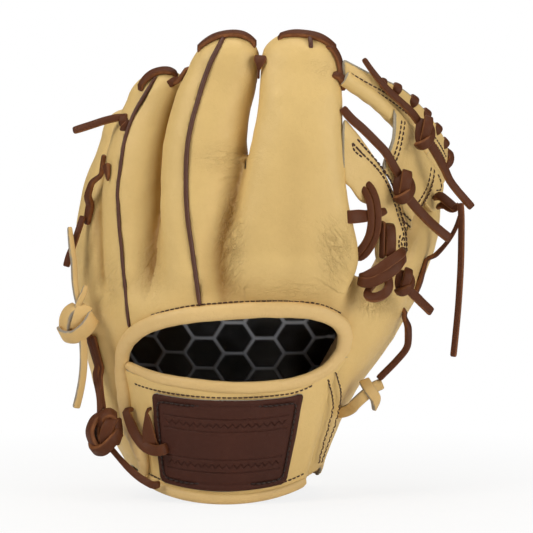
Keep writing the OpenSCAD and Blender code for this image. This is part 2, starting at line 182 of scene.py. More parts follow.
def outline_distance(x: Array, z: Array, outline: Array) -> Array:
    """Distance to a closed outline, negative inside it.

    Args:
        x: First coordinate of each point.
        z: Second coordinate of each point.
        outline: Corners of the outline in order.

    Returns:
        The signed distance of each point.
    """
    best = np.full(x.shape, 1e9)
    inside = np.zeros(x.shape, bool)
    for (ax, az), (bx, bz) in zip(outline, np.roll(outline, -1, axis=0)):
        ex, ez = bx - ax, bz - az
        t = np.clip(((x - ax) * ex + (z - az) * ez) / max(ex * ex + ez * ez, 1e-9), 0, 1)
        best = np.minimum(best, (x - ax - t * ex) ** 2 + (z - az - t * ez) ** 2)
        crosses = (az > z) != (bz > z)
        inside ^= crosses & (x < ex * (z - az) / (ez if ez else 1e-9) + ax)
    return np.where(inside, -1, 1) * np.sqrt(best)


def closed_curve(corners: Rows, parts: int = 6) -> Array:
    """A smooth closed outline through given corners."""
    rows = np.asarray(list(corners) + list(corners[:3]), float)
    return row_at(rows, np.linspace(1, len(corners) + 1, len(corners) * parts, endpoint=False))


@dataclass
class Skin:
    """The surface of a piece: points, faces, and the values that its finish reads."""

    points: Array
    faces: List[Array]
    marks: Dict[str, Array] = field(default_factory=dict)
    line: Optional[Array] = None

    @staticmethod
    def join(skins: Sequence["Skin"]) -> "Skin":
        """One skin that holds several, with every value that any of them has.

        Args:
            skins: The skins.

        Returns:
            Their join.
        """
        points, faces, start = [], [], 0
        names = sorted({n for s in skins for n in s.marks})
        for s in skins:
            points.append(s.points)
            faces += [f + start for f in s.faces]
            start += len(s.points)
        marks = {n: np.concatenate([s.marks.get(n, np.zeros(len(s.points))) for s in skins]) for n in names}
        return Skin(np.concatenate(points), faces, marks)

    def volume(self) -> float:
        """Signed volume, positive when the faces look outward.

        Returns:
            The volume in cubic millimetres.
        """
        total = 0.0
        for f in self.faces:
            p = self.points[f]
            for k in range(1, p.shape[1] - 1):
                total += float(np.einsum("ij,ij->", p[:, 0], np.cross(p[:, k], p[:, k + 1]))) / 6
        return total

    def outward(self) -> "Skin":
        """Turns the faces over where they look inward.

        Returns:
            The same skin.
        """
        if self.volume() < 0:
            self.faces = [f[:, ::-1] for f in self.faces]
        return self


@dataclass
class Block:
    """A box of space cut into cubes."""

    low: Triple
    high: Triple
    step: float

    def __post_init__(self) -> None:
        """Lays out the three axes."""
        self.axes = [np.arange(a, b + self.step, self.step, dtype=np.float32) for a, b in zip(self.low, self.high)]
        self.x = self.axes[0][:, None, None]
        self.y = self.axes[1][None, :, None]
        self.z = self.axes[2][None, None, :]
        self.shape = tuple(len(a) for a in self.axes)

    def skin(self, values: Array) -> Skin:
        """The surface where a field crosses zero.

        Args:
            values: The field, negative inside the solid.

        Returns:
            A closed skin of quads that looks outward.
        """
        band = 3 * self.step
        grid = openvdb.FloatGrid(float(band))
        grid.copyFromArray(np.ascontiguousarray(np.clip(values, -band, band), dtype=np.float32))
        points, quads = grid.convertToQuads(0.0)
        return Skin(points.astype(float) * self.step + np.array(self.low), [quads.astype(np.int64)]).outward()

    def sample(self, values: Array, points: Array) -> Array:
        """A field's value at any points, between its cubes' corners.

        Args:
            values: The field.
            points: Where it is read.

        Returns:
            One value a point.
        """
        at = np.clip((points - np.array(self.low)) / self.step, 0, np.array(self.shape) - 1.001)
        i = at.astype(int)
        f = at - i
        out = np.zeros(len(points))
        for corner in np.ndindex(2, 2, 2):
            share = np.prod(np.where(corner, f, 1 - f), axis=1)
            out += share * values[tuple((i + corner).T)]
        return out

    def slope(self, values: Array, points: Array) -> Array:
        """The direction in which a field grows, at any points.

        Args:
            values: The field.
            points: Where it is read.

        Returns:
            One direction a point, not yet of length 1.
        """
        ways = np.eye(3) * self.step
        rises = [self.sample(values, points + way) - self.sample(values, points - way) for way in ways]
        return np.stack(rises, 1) / (2 * self.step)


# ---------------------------------------------------------------- the glove's form


@dataclass
class Stall:
    """One finger stall, as a tapered tube with a domed tip.

    Each row is a station: height, centre x, centre y, half width, depth of the back, depth of the palm
    side, and the way the back faces in degrees. The last row is where the dome starts, and `kept` is how much
    of each value's lean goes on above it. Below the height `full` a finger stall sinks into the hand's back.
    """

    name: str
    rows: Array
    rise: float
    foot: float
    fade: float
    full: float = 0.0
    sink: float = 9.0
    square: float = 2.5
    kept: Tuple[float, ...] = (0.9, 0.9, 0.6, 0.6, 0.6, 0.5)

    def section(self, z: Array) -> Array:
        """The station at each height, without its height. Past its ends the stall keeps its lean and taper.

        Args:
            z: The heights.

        Returns:
            One station a height.
        """
        rows = np.asarray(self.rows, float)
        z = np.asarray(z, float)
        held = np.clip(z, rows[0, 0], rows[-1, 0])
        out = row_at(rows[:, 1:], place_of(rows[:, 0], held))
        lean = (rows[-1, 1:] - rows[-2, 1:]) / (rows[-1, 0] - rows[-2, 0])
        return out + np.clip(z - rows[-1, 0], 0, self.rise)[..., None] * (lean * self.kept)

    def local(self, x: Array, y: Array, z: Array) -> Tuple[Array, Array, Array]:
        """Distance across the stall, towards its back, and past its shoulder or foot.

        Args:
            x: Across the glove.
            y: Towards the palm.
            z: Height.

        Returns:
            The three distances.
        """
        cx, cy, _, _, _, facing = np.moveaxis(self.section(z), -1, 0)
        a = np.radians(facing)
        across = (x - cx) * np.cos(a) + (y - cy) * np.sin(a)
        back = (x - cx) * np.sin(a) - (y - cy) * np.cos(a)
        top = self.rows[-1][0]
        past = np.where(z > top, z - top, np.where(z < self.foot, z - self.foot, 0.0))
        return across, back, past

    def field(self, block: Block) -> Tuple[Array, Array]:
        """The stall's own field, and how far each point is towards its back.

        Args:
            block: The space it is worked out in.

        Returns:
            The two fields.
        """
        z = block.z
        _, _, half, deep_back, deep_palm, _ = np.moveaxis(self.section(z), -1, 0)
        sunk = np.clip((z - self.foot) / max(self.full - self.foot, 1.0), 0, 1) if self.full else 1.0
        sunk = 0.3 + 0.7 * sunk * sunk * (3 - 2 * sunk)
        across, back, past = self.local(block.x, block.y - self.sink * (1 - sunk), z)
        half = half * (0.5 + 0.5 * sunk)
        deep = np.where(back > 0, deep_back * sunk, deep_palm)
        end = np.where(past > 0, self.rise, self.fade)
        n = self.square
        k = (np.abs(across / half) ** n + np.abs(back / deep) ** n + np.abs(past / end) ** n) ** (1 / n)
        reach = np.sqrt(across**2 + back**2 + past**2) / np.maximum(k, 0.03)
        reach = np.where(k > 0.03, reach, half)
        return (reach * (k - 1)).astype(np.float32), back.astype(np.float32)


@dataclass
class Wrist:
    """The hand's part of the glove: an oval wrist whose palm side is hollowed into the pocket."""

    oval: Array = field(
        default_factory=lambda: np.array(
            [[0, -14, 55, 48], [40, -12, 64, 54], [80, -9, 74, 62], [120, -2, 100, 67], [160, 6, 110, 70]], float)
    )
    centre_y: float = 25.0
    heights: Tuple[float, ...] = (4, 44, 84, 122, 168)
    palm: Array = field(
        default_factory=lambda: np.array(
            [
                [[-62, 50], [-44, 60], [-22, 64], [-4, 64], [14, 62]],
                [[-80, 49], [-58, 61], [-28, 59], [0, 53], [25, 50]],
                [[-88, 47], [-66, 42], [-30, 22], [4, 16], [40, 27]],
                [[-92, 45], [-69, 18], [-41, -8], [8, -15], [57, -5]],
                [[-92, 34], [-69, 4], [-41, -22], [8, -27], [57, -24]],
            ],
            float,
        )
    )
    top: float = 112.0
    dome: float = 54.0

    def section(self, z: Array) -> Tuple[Array, Array, Array]:
        """The oval's middle, half width and half depth at each height."""
        return tuple(np.moveaxis(row_at(self.oval[:, 1:], place_of(self.oval[:, 0], z)), -1, 0))

    def point(self, turn: Array, z: Array) -> Array:
        """A point of the oval.

        Args:
            turn: The turn from the middle of the back, in degrees.
            z: Its height.

        Returns:
            The point for every pair.
        """
        turn, z = np.broadcast_arrays(np.asarray(turn, float), np.asarray(z, float))
        cx, a, b = self.section(z)
        t = np.radians(turn)
        return np.stack([cx + a * np.sin(t), self.centre_y - b * np.cos(t), z], axis=-1)

    def palm_depth(self, x: Array, z: Array) -> Array:
        """How far back the palm's face lies at x and z.

        Args:
            x: Across the glove, one value a row.
            z: Height, one value a column.

        Returns:
            y for every pair.
        """
        table = row_at(self.palm.reshape(len(self.heights), -1), place_of(self.heights, z)).reshape(len(z), 5, 2)
        out = np.empty((len(x), len(z)))
        for k in range(len(z)):
            curve = finer(table[k], 33)
            out[:, k] = np.interp(x, curve[:, 0], curve[:, 1])
        return out

    def field(self, block: Block) -> Tuple[Array, Array]:
        """The hand's field, and how much nearer each point is to the palm than to the back.

        Args:
            block: The space it is worked out in.

        Returns:
            The two fields.
        """
        z = block.z
        cx, a, b = self.section(z)
        dx, dy = block.x - cx, np.minimum(block.y - self.centre_y, 0)
        past = np.maximum(z - self.top, 0)
        k = np.sqrt((dx / a) ** 2 + (dy / b) ** 2 + (past / self.dome) ** 2)
        oval = np.where(k > 0.03, np.sqrt(dx**2 + dy**2 + past**2) / np.maximum(k, 0.03), a) * (k - 1)
        depth = self.palm_depth(block.axes[0], block.axes[2])[:, None, :]
        palm = (block.y - depth) * 0.85
        return soft_max(oval, palm, 9.0).astype(np.float32), (palm - oval).astype(np.float32)


@dataclass
class GloveForm:
    """The whole glove's outer form as one field, and the ways that pieces are laid on it.

    The field fills the space from `low` to `high` in cubes of one `step`, and `leather` is the hide's thickness.
    """

    step: float = 1.4
    leather: float = 2.6
    low: Triple = (-122, -66, -8)
    high: Triple = (134, 78, 298)

    def __post_init__(self) -> None:
        """Sets out the stalls and the wrist, and works out the field."""
        self.block = Block(self.low, self.high, self.step)
        self.wrist = Wrist()
        self.stalls = {
            "index": Stall("index", np.array([
                [120, 24, -34, 39, 15, 17, 4], [150, 26, -35, 39.5, 15, 17, 1], [182, 26.5, -36, 32.5, 16, 17, -2],
                [212, 28, -36, 28, 16, 16, -3], [245, 30.5, -33, 25, 16, 15, -2],
                [266, 30.5, -28, 24, 15, 13, 0]], float),
                19, 102, 14, full=150),
            "middle": Stall("middle", np.array([
                [120, -34, -25, 20, 15, 16, 8], [150, -31.8, -22, 21.6, 17, 16, 15],
                [182, -28.8, -22, 25.4, 18, 16, 13], [207, -27.4, -21, 26.0, 18, 15, 10],
                [222, -26.8, -21, 25, 18, 15, 8], [238, -23.6, -21, 24.2, 17, 15, 5],
                [252, -19.6, -21, 23.2, 16, 13, 2], [266, -15.4, -22, 21, 15, 12, -2]], float),
                18, 102, 14, full=142, square=2.15),
            "ring": Stall("ring", np.array([
                [120, -68, -6, 20, 16, 15, -20], [150, -67.6, -1, 22.6, 19, 15, -8], [182, -67.6, 2, 23.6, 21, 15, -4],
                [212, -65.4, 2, 23, 20, 14, -6], [232, -62, 1, 20.5, 17, 12, -14],
                [248, -57, 0, 18.5, 15, 11, -22]], float),
                16, 102, 14, full=142, square=2.05),
            "pinky": Stall("pinky", np.array([
                [4, -60, 30, 21, 12, 12, -66], [48, -78, 27, 21, 14, 14, -74], [84, -86.5, 24, 21, 15, 15, -76],
                [120, -92, 22, 21, 15.5, 15, -74], [157, -93, 22, 21.5, 15.5, 15, -72],
                [195, -89, 26, 20.5, 14, 13, -74], [226, -80, 30, 17, 13, 11, -78]], float),
                15, 14, 16),
            "thumb": Stall("thumb", np.array([
                [20, 26, 34, 23, 15, 13, 80], [57, 43, 28, 27, 17, 14, 72], [93, 66, 19, 29, 17, 15, 66],
                [120, 82, 16, 31, 16, 16, 66], [157, 100, 28, 27, 15, 15, 74], [188, 106, 43, 23, 14, 13, 80]], float),
                15, 26, 22),
        }
        self.own = {}
        backs, fields = [], []
        for name, stall in self.stalls.items():
            own, back = stall.field(self.block)
            self.own[name] = own
            fields.append(own)
            backs.append(-back)
        hand, palmward = self.wrist.field(self.block)
        z = self.block.z
        gap = np.interp(z, [120, 145, 170, 190, 209, 217], [22, 16, 12, 12, 12, 1.5]).astype(np.float32)
        form = soft_min(self.own["index"], self.own["middle"], gap)
        gap = np.interp(z, [120, 135, 150, 175, 245], [18, 17, 14, 7, 3.5]).astype(np.float32)
        form = soft_min(form, self.own["ring"], gap)
        gap = np.interp(z, [120, 150, 200], [8, 4, 3]).astype(np.float32)
        form = soft_min(form, self.own["pinky"], gap)
        form = soft_min(form, hand, 7.0)
        form = soft_min(form, self.own["thumb"], 14.0)
        grown = np.gradient(form, self.step)
        form = form / np.clip(np.sqrt(grown[0] ** 2 + grown[1] ** 2 + grown[2] ** 2), 0.45, 2.5)
        self.form = form.astype(np.float32)
        owner = np.argmin(np.stack(fields + [hand]), axis=0)
        side = np.choose(owner, backs + [palmward])
        valley = (np.abs(self.block.x + 55) < 20) & (self.block.y < -14) & (z < 175)
        side = np.where(valley, -12, side).astype(np.float32)
        self.side = self._smoothed(np.clip(side, -12, 12), 3)

    @staticmethod
    def _smoothed(values: Array, times: int) -> Array:
        """The field blurred a little along each axis.

        Args:
            values: The field.
            times: How many times it is blurred.

        Returns:
            The blurred field.
        """
        out = values.astype(np.float32)
        for _ in range(times):
            for axis in range(3):
                out = (np.roll(out, 1, axis) + 2 * out + np.roll(out, -1, axis)) / 4
        return out

    def off(self, points: Array) -> Array:
        """How far each point is off the leather, less than nothing inside it."""
        return self.block.sample(self.form, points)

    def settle(self, points: Array, lift: float = 0.0) -> Array:
        """Points moved along the form's slope.

        Args:
            points: Points near the leather.
            lift: How far off it they end.

        Returns:
            The new points.
        """
        out = np.array(points, float)[:, :3].copy()
        for _ in range(6):
            out += self.outward(out) * (lift - self.off(out))[:, None]
        return out

    def outward(self, points: Array) -> Array:
        """The way the leather faces at each point."""
        return unit(self.block.slope(self.form, np.asarray(points, float)[:, :3]))

    def front(self, x: Array, z: Array) -> Array:
        """The frontmost points of the leather.

        Args:
            x: Across the glove.
            z: Height.

        Returns:
            The point for every pair.
        """
        x, z = np.atleast_1d(np.asarray(x, float)), np.atleast_1d(np.asarray(z, float))
        ys = self.block.axes[1].astype(float)
        out = np.zeros((len(x), 3))
        for k in range(len(x)):
            column = self.off(np.stack([np.full(len(ys), x[k]), ys, np.full(len(ys), z[k])], 1))
            hit = np.argmax(column < 0) if (column < 0).any() else int(np.argmin(column))
            out[k] = (x[k], ys[max(hit, 1)] - self.step / 2, z[k])
        return self.settle(out)

    def over(self, route: Rows, count: int, lift: float) -> Array:
        """A smooth line drawn on the glove's front."""
        rows = finer(np.asarray(route, float), count)
        return self.settle(self.front(rows[:, 0], rows[:, 1]), lift)


# ---------------------------------------------------------------- finishes


def linear(colour: Colour) -> Tuple[float, float, float, float]:
    """A colour given as it looks on a screen, 0 to 255 a channel, as linear light."""
    share = [c / 255 for c in colour]
    return tuple(c / 12.92 if c <= 0.04045 else ((c + 0.055) / 1.055) ** 2.4 for c in share) + (1.0,)


def place(tree: Tree, kind: str, wires: Optional[dict] = None, **settings: object) -> Node:
    """Adds a node to a tree.

    Args:
        tree: The tree it goes in.
        kind: The node's type, without the words that all of them start with.
        wires: For each input, by name or number, a socket to take or a value to hold.
        settings: Properties of the node itself.

    Returns:
        The node.
    """
    node = tree.nodes.new("ShaderNode" + kind)
    for key, value in settings.items():
        setattr(node, key, value)
    for key, value in (wires or {}).items():
        socket = node.inputs[key]
        if isinstance(value, Socket):
            tree.links.new(value, socket)
        else:
            socket.default_value = value
    return node


def calc(tree: Tree, operation: str, *values: object, clamp: bool = False) -> Socket:
    """The result of a Math node on sockets or numbers."""
    node = place(tree, "Math", dict(enumerate(values)), operation=operation, use_clamp=clamp)
    return node.outputs[0]


def blend_colour(tree: Tree, share: object, a: object, b: object) -> Socket:
    """Two colours mixed by a share, which may be a socket."""
    return place(tree, "Mix", {0: share, 6: a, 7: b}, data_type="RGBA").outputs[2]


def mark(tree: Tree, name: str) -> Socket:
    """A value that the piece's own mesh carries."""
    return place(tree, "Attribute", attribute_name=name).outputs["Fac"]


def here(tree: Tree) -> Socket:
    """The place of a point in the piece's own frame, in metres."""
    return place(tree, "TexCoord").outputs["Object"]


def cloud(tree: Tree, scale: float, detail: float = 2.0, rough: float = 0.5) -> Socket:
    """A cloudy value about a half that changes over the piece."""
    wires = {"Vector": here(tree), "Scale": scale, "Detail": detail, "Roughness": rough}
    return place(tree, "TexNoise", wires).outputs[0]


def dulled(tree: Tree, value: Socket, gloss: Tuple[float, float]) -> Socket:
    """A roughness between two limits, from a value that changes about a half."""
    wires = {"Value": value, "From Min": 0.3, "From Max": 0.7, "To Min": gloss[0], "To Max": gloss[1]}
    return place(tree, "MapRange", wires).outputs[0]


def emboss(tree: Tree, shader: Node, height: Socket, distance: float, strength: float) -> None:
    """Raises a shader's surface by a height."""
    bump = place(tree, "Bump", {"Height": height, "Distance": distance, "Strength": strength})
    tree.links.new(bump.outputs[0], shader.inputs["Normal"])


class Groups:
    """The effects that several finishes share, each built once."""

    _made: Dict[str, Tree] = {}

    @classmethod
    def _start(cls, name: str, takes: Dict[str, object], gives: Sequence[str]) -> Tuple[Tree, Sockets, Sockets]:
        """Starts a group. A socket whose default is a tuple, or whose name is Color, holds a colour.

        Args:
            name: The group's name.
            takes: Name and default of each input.
            gives: Name of each output.

        Returns:
            The group, what comes into it and what goes out.
        """
        group = bpy.data.node_groups.new(name, "ShaderNodeTree")
        for label, value in takes.items():
            kind = "NodeSocketColor" if isinstance(value, tuple) else "NodeSocketFloat"
            group.interface.new_socket(label, in_out="INPUT", socket_type=kind).default_value = value
        for label in gives:
            kind = "NodeSocketColor" if label == "Color" else "NodeSocketFloat"
            group.interface.new_socket(label, in_out="OUTPUT", socket_type=kind)
        cls._made[name] = group
        return group, group.nodes.new("NodeGroupInput").outputs, group.nodes.new("NodeGroupOutput").inputs

    @classmethod
    def use(cls, tree: Tree, name: str, wires: dict) -> Sockets:
        """Places a shared effect in a material, building it the first time.

        Args:
            tree: The material's tree.
            name: The effect's name.
            wires: For each input a socket to take or a value to hold.

        Returns:
            The effect's outputs.
        """
        if name not in cls._made:
            getattr(cls, "_" + name.lower().replace(" ", "_"))()
        return place(tree, "Group", wires, node_tree=cls._made[name]).outputs

    @classmethod
    def _hide_grain(cls) -> None:
        """Pebbled grain and soft wrinkles of tanned leather, as a height."""
        g, take, give = cls._start("Hide Grain", {"Cell": 1300.0, "Grain": 1.0, "Wrinkle": 1.0}, ["Height"])
        warp = place(g, "TexNoise", {"Vector": here(g), "Scale": 240.0, "Detail": 2.0}).outputs["Color"]
        shift = place(g, "VectorMath", {0: warp, 1: (0.0012, 0.0012, 0.0012)}, operation="MULTIPLY").outputs[0]
        bent = place(g, "VectorMath", {0: here(g), 1: shift}, operation="ADD").outputs[0]
        wires = {"Vector": bent, "Scale": take["Cell"]}
        cell = place(g, "TexVoronoi", wires, feature="DISTANCE_TO_EDGE").outputs["Distance"]
        pebble = calc(g, "MULTIPLY", calc(g, "MINIMUM", cell, 0.28), 1.2)
        pebble = calc(g, "MULTIPLY", pebble, take["Grain"])
        wrinkle = calc(g, "ABSOLUTE", calc(g, "SUBTRACT", cloud(g, 85.0, 5.0, 0.62), 0.5))
        wrinkle = calc(g, "MULTIPLY", calc(g, "MINIMUM", wrinkle, 0.09), 9.0)
        wrinkle = calc(g, "MULTIPLY", wrinkle, take["Wrinkle"])
        g.links.new(calc(g, "ADD", pebble, wrinkle), give["Height"])

    @classmethod
    def _hide_tone(cls) -> None:
        """The uneven dye of a hide, broad patches and fine mottle, darkened further where painted shade is given."""
        takes = {"Light": (1, 1, 1, 1), "Deep": (0, 0, 0, 1), "Patches": 0.5, "Painted Shade": 0.0}
        g, take, give = cls._start("Hide Tone", takes, ["Color", "Dullness"])
        fine = cloud(g, 330.0, 3.0, 0.6)
        broad = calc(g, "MULTIPLY", cloud(g, 26.0, 3.0, 0.55), 1.5)
        share = calc(g, "ADD", broad, calc(g, "MULTIPLY", fine, 0.5))
        share = calc(g, "MULTIPLY", calc(g, "SUBTRACT", share, 0.62, clamp=True), take["Patches"])
        # Painted shade: this input darkens the colour towards the deep colour.
        share = calc(g, "ADD", share, take["Painted Shade"], clamp=True)
        g.links.new(blend_colour(g, share, take["Light"], take["Deep"]), give["Color"])
        g.links.new(fine, give["Dullness"])

    @classmethod
    def _creases(cls) -> None:
        """Fine broken creases, as a height and as lines that the hide darkens as painted shade, where the leather is
        marked as creased.
        """
        g, take, give = cls._start("Creases", {"Spread": 1.0}, ["Line", "Height"])
        run, cross = mark(g, "run"), mark(g, "cross")
        lines = []
        for along, over, narrow in ((0.12, 0.30, 11.0), (0.24, 0.66, 9.0)):
            over = calc(g, "MULTIPLY", calc(g, "MULTIPLY", cross, over), take["Spread"])
            where = place(g, "CombineXYZ", {0: calc(g, "MULTIPLY", run, along), 1: over}).outputs[0]
            wires = {"Vector": where, "Scale": 1.0, "Detail": 2.5, "Distortion": 0.7}
            off = calc(g, "ABSOLUTE", calc(g, "SUBTRACT", place(g, "TexNoise", wires).outputs[0], 0.5))
            lines.append(calc(g, "SUBTRACT", 1.0, calc(g, "MULTIPLY", off, narrow), clamp=True))
        both = calc(g, "ADD", lines[0], calc(g, "MULTIPLY", lines[1], 0.6))
        both = calc(g, "MULTIPLY", both, mark(g, "crease"))
        g.links.new(both, give["Line"])
        g.links.new(calc(g, "MULTIPLY", both, -1.0), give["Height"])

    @classmethod
    def _raw_edge(cls) -> None:
        """The fuzzy cut edge of leather, where its grey core shows."""
        takes = {"Skin": (1, 1, 1, 1), "Core": (0.5, 0.5, 0.5, 1), "Cut": 0.0}
        g, take, give = cls._start("Raw Edge", takes, ["Color", "Fuzz"])
        nap = cloud(g, 900.0, 4.0, 0.7)
        share = calc(g, "ADD", take["Cut"], calc(g, "MULTIPLY", calc(g, "SUBTRACT", nap, 0.5), 1.1))
        share = calc(g, "MULTIPLY", calc(g, "SUBTRACT", share, 0.35), 4.0, clamp=True)
        share = calc(g, "MULTIPLY", share, calc(g, "GREATER_THAN", take["Cut"], 0.02))
        dark = blend_colour(g, calc(g, "MULTIPLY", nap, 0.5, clamp=True), take["Core"], (0.12, 0.09, 0.06, 1))
        g.links.new(blend_colour(g, share, take["Skin"], dark), give["Color"])
        g.links.new(calc(g, "MULTIPLY", share, nap), give["Fuzz"])

    @classmethod
    def _lace_fibre(cls) -> None:
        """The long fibres and rubbed edges of a rawhide lace, read from how far along and across it a point is."""
        takes = {"Skin": (0.1, 0.05, 0.03, 1), "Rubbed": (0.3, 0.2, 0.1, 1), "Wear": 0.5}
        g, take, give = cls._start("Lace Fibre", takes, ["Color", "Height", "Dullness"])
        across = mark(g, "across")
        stretched = {0: calc(g, "MULTIPLY", mark(g, "along"), 0.16), 1: calc(g, "MULTIPLY", across, 3.2)}
        where = place(g, "CombineXYZ", stretched).outputs[0]
        wires = {"Vector": where, "Scale": 2.4, "Detail": 5.0, "Roughness": 0.65}
        fibre = place(g, "TexNoise", wires).outputs[0]
        spot = cloud(g, 260.0, 3.0)
        edge = calc(g, "POWER", calc(g, "ABSOLUTE", across), 6.0)
        share = calc(g, "MULTIPLY", calc(g, "ADD", edge, calc(g, "SUBTRACT", fibre, 0.55, clamp=True)), spot)
        share = calc(g, "MULTIPLY", share, take["Wear"], clamp=True)
        g.links.new(blend_colour(g, share, take["Skin"], take["Rubbed"]), give["Color"])
        height = calc(g, "ADD", calc(g, "MULTIPLY", fibre, 0.7), calc(g, "MULTIPLY", spot, 0.5))
        g.links.new(height, give["Height"])
        g.links.new(fibre, give["Dullness"])

    @classmethod
    def _thread_twist(cls) -> None:
        """The twisted plies of waxed thread, as a height, from how far along and across it a point is."""
        g, take, give = cls._start("Thread Twist", {"Plies": 5.0}, ["Height"])
        turn = calc(g, "MULTIPLY", mark(g, "along"), take["Plies"])
        turn = calc(g, "ADD", turn, calc(g, "MULTIPLY", mark(g, "across"), 2.0))
        g.links.new(calc(g, "SINE", turn), give["Height"])


def new_material(name: str) -> Tuple[bpy.types.Material, Tree, Node]:
    """A material with only its Principled shader and its output.

    Args:
        name: The material's name.

    Returns:
        The material, its tree and that shader.
    """
    material = bpy.data.materials.new(name)
    material.use_nodes = True
    return material, material.node_tree, material.node_tree.nodes["Principled BSDF"]


@dataclass(frozen=True)
class HideFinish:
    """Tanned leather: dyed outside, suede inside, raw where it is cut."""

    name: str
    slot: Slot
    light: Colour
    # The darker colour, which both random patches and painted shade lean towards.
    deep: Colour
    suede: Colour = (176, 140, 98)
    core: Colour = (188, 178, 158)
    cell: float = 1250.0
    grain: float = 0.55
    wrinkle: float = 0.5
    depth: float = 0.00028
    gloss: Tuple[float, float] = (0.42, 0.56)
    patches: float = 0.5
    shine: float = 0.45

    def material(self) -> bpy.types.Material:
        """Builds the material.

        It reads `rim` (a cut edge), `suede` (the rough side), `low` (painted shade in the hollows, the finger valley
        and along each shade line) and the marks of the creases, whose lines are darkened as painted shade as well.

        Returns:
            The material.
        """
        material, tree, shader = new_material(self.name)
        shader.inputs["Specular IOR Level"].default_value = self.shine
        crease = Groups.use(tree, "Creases", {"Spread": 1.0})
        # Painted shade: the `low` mark and a fifth of the crease lines darken the colour where shade would fall.
        low = calc(tree, "ADD", mark(tree, "low"), calc(tree, "MULTIPLY", crease["Line"], 0.2))
        tone = Groups.use(tree, "Hide Tone", {
            "Light": linear(self.light), "Deep": linear(self.deep), "Patches": self.patches, "Painted Shade": low})
        rough = mark(tree, "suede")
        skin = blend_colour(tree, rough, tone["Color"], linear(self.suede))
        edge = Groups.use(tree, "Raw Edge", {"Skin": skin, "Core": linear(self.core), "Cut": mark(tree, "rim")})
        tree.links.new(edge["Color"], shader.inputs["Base Color"])
        fuzz = calc(tree, "MULTIPLY", calc(tree, "MAXIMUM", rough, edge["Fuzz"]), 0.4)
        dull = calc(tree, "ADD", dulled(tree, tone["Dullness"], self.gloss), fuzz, clamp=True)
        tree.links.new(dull, shader.inputs["Roughness"])
        grain = Groups.use(tree, "Hide Grain", {"Cell": self.cell, "Grain": self.grain, "Wrinkle": self.wrinkle})
        height = calc(tree, "ADD", grain["Height"], calc(tree, "MULTIPLY", edge["Fuzz"], 3.0))
        height = calc(tree, "ADD", height, calc(tree, "MULTIPLY", crease["Height"], 3.4))
        emboss(tree, shader, height, self.depth, 0.8)
        return material


@dataclass(frozen=True)
class LaceFinish:
    """Oiled rawhide lace."""

    name: str
    slot: Slot
    skin: Colour
    rubbed: Colour
    wear: float = 0.9
    depth: float = 0.0005
    gloss: Tuple[float, float] = (0.40, 0.62)
    shine: float = 0.24

    def material(self) -> bpy.types.Material:
        """Builds the material. It reads `along` and `across`.

        Returns:
            The material.
        """
        material, tree, shader = new_material(self.name)
        shader.inputs["Specular IOR Level"].default_value = self.shine
        colours = {"Skin": linear(self.skin), "Rubbed": linear(self.rubbed)}
        fibre = Groups.use(tree, "Lace Fibre", {**colours, "Wear": self.wear})
        tree.links.new(fibre["Color"], shader.inputs["Base Color"])
        tree.links.new(dulled(tree, fibre["Dullness"], self.gloss), shader.inputs["Roughness"])
        emboss(tree, shader, fibre["Height"], self.depth, 0.7)
        return material


@dataclass(frozen=True)
class ThreadFinish:
    """Waxed sewing thread."""

    name: str
    slot: Slot
    colour: Colour
    plies: float = 5.5

    def material(self) -> bpy.types.Material:
        """Builds the material. It reads `along` and `across`.

        Returns:
            The material.
        """
        material, tree, shader = new_material(self.name)
        base = linear(self.colour)
        lighter = tuple(min(1.0, c * 2.2) for c in base[:3]) + (1.0,)
        colour = blend_colour(tree, calc(tree, "MULTIPLY", cloud(tree, 1500.0), 0.7), base, lighter)
        tree.links.new(colour, shader.inputs["Base Color"])
        shader.inputs["Roughness"].default_value = 0.55
        emboss(tree, shader, Groups.use(tree, "Thread Twist", {"Plies": self.plies})["Height"], 0.0002, 0.6)
        return material


@dataclass(frozen=True)
class PadFinish:
    """Matt black padding with moulded ribs, or felt."""

    name: str
    slot: Slot
    ground: Colour
    rib: Colour
    gloss: float = 0.6
    weave: float = 1800.0
    depth: float = 0.0002

    def material(self) -> bpy.types.Material:
        """Builds the material. It reads `rib`.

        Returns:
            The material.
        """
        material, tree, shader = new_material(self.name)
        raised = mark(tree, "rib")
        uneven = calc(tree, "MULTIPLY", calc(tree, "SUBTRACT", cloud(tree, 60.0, 3.0), 0.5), 0.3)
        share = calc(tree, "ADD", raised, uneven, clamp=True)
        colour = blend_colour(tree, share, linear(self.ground), linear(self.rib))
        tree.links.new(colour, shader.inputs["Base Color"])
        shader.inputs["Roughness"].default_value = self.gloss
        knit = place(tree, "TexVoronoi", {"Vector": here(tree), "Scale": self.weave}).outputs["Distance"]
        fine = calc(tree, "MULTIPLY", knit, calc(tree, "SUBTRACT", 1.0, raised, clamp=True))
        emboss(tree, shader, fine, self.depth, 0.8)
        return material


Finish = Union[HideFinish, LaceFinish, ThreadFinish, PadFinish]
# The blonde hide's deep colour is mostly reached where shade is painted in the finger valley and the hollows.
BLONDE = HideFinish("Blonde hide", Slot.BLONDE, (231, 198, 130), (150, 108, 42), patches=0.16)
CREAM_ROLL = HideFinish("Rolled binding hide", Slot.BINDING, (230, 196, 134), (178, 132, 68), grain=0.35,
                        wrinkle=0.8, patches=0.2)
PATCH = HideFinish("Brown patch hide", Slot.PATCH, (74, 38, 27), (48, 24, 17), core=(196, 190, 178), cell=900.0,
                   grain=0.9, depth=0.0004, gloss=(0.5, 0.65), shine=0.22)
WELT = HideFinish("Brown welt hide", Slot.WELT, (92, 54, 40), (62, 36, 27), grain=0.4, gloss=(0.38, 0.52))
BROWN_LACE = LaceFinish("Brown rawhide", Slot.LACE, (88, 46, 22), (150, 96, 56), wear=1.2)
TAN_LACE = LaceFinish("Tan rawhide", Slot.TAN_LACE, (220, 184, 122), (150, 142, 130), wear=1.9)
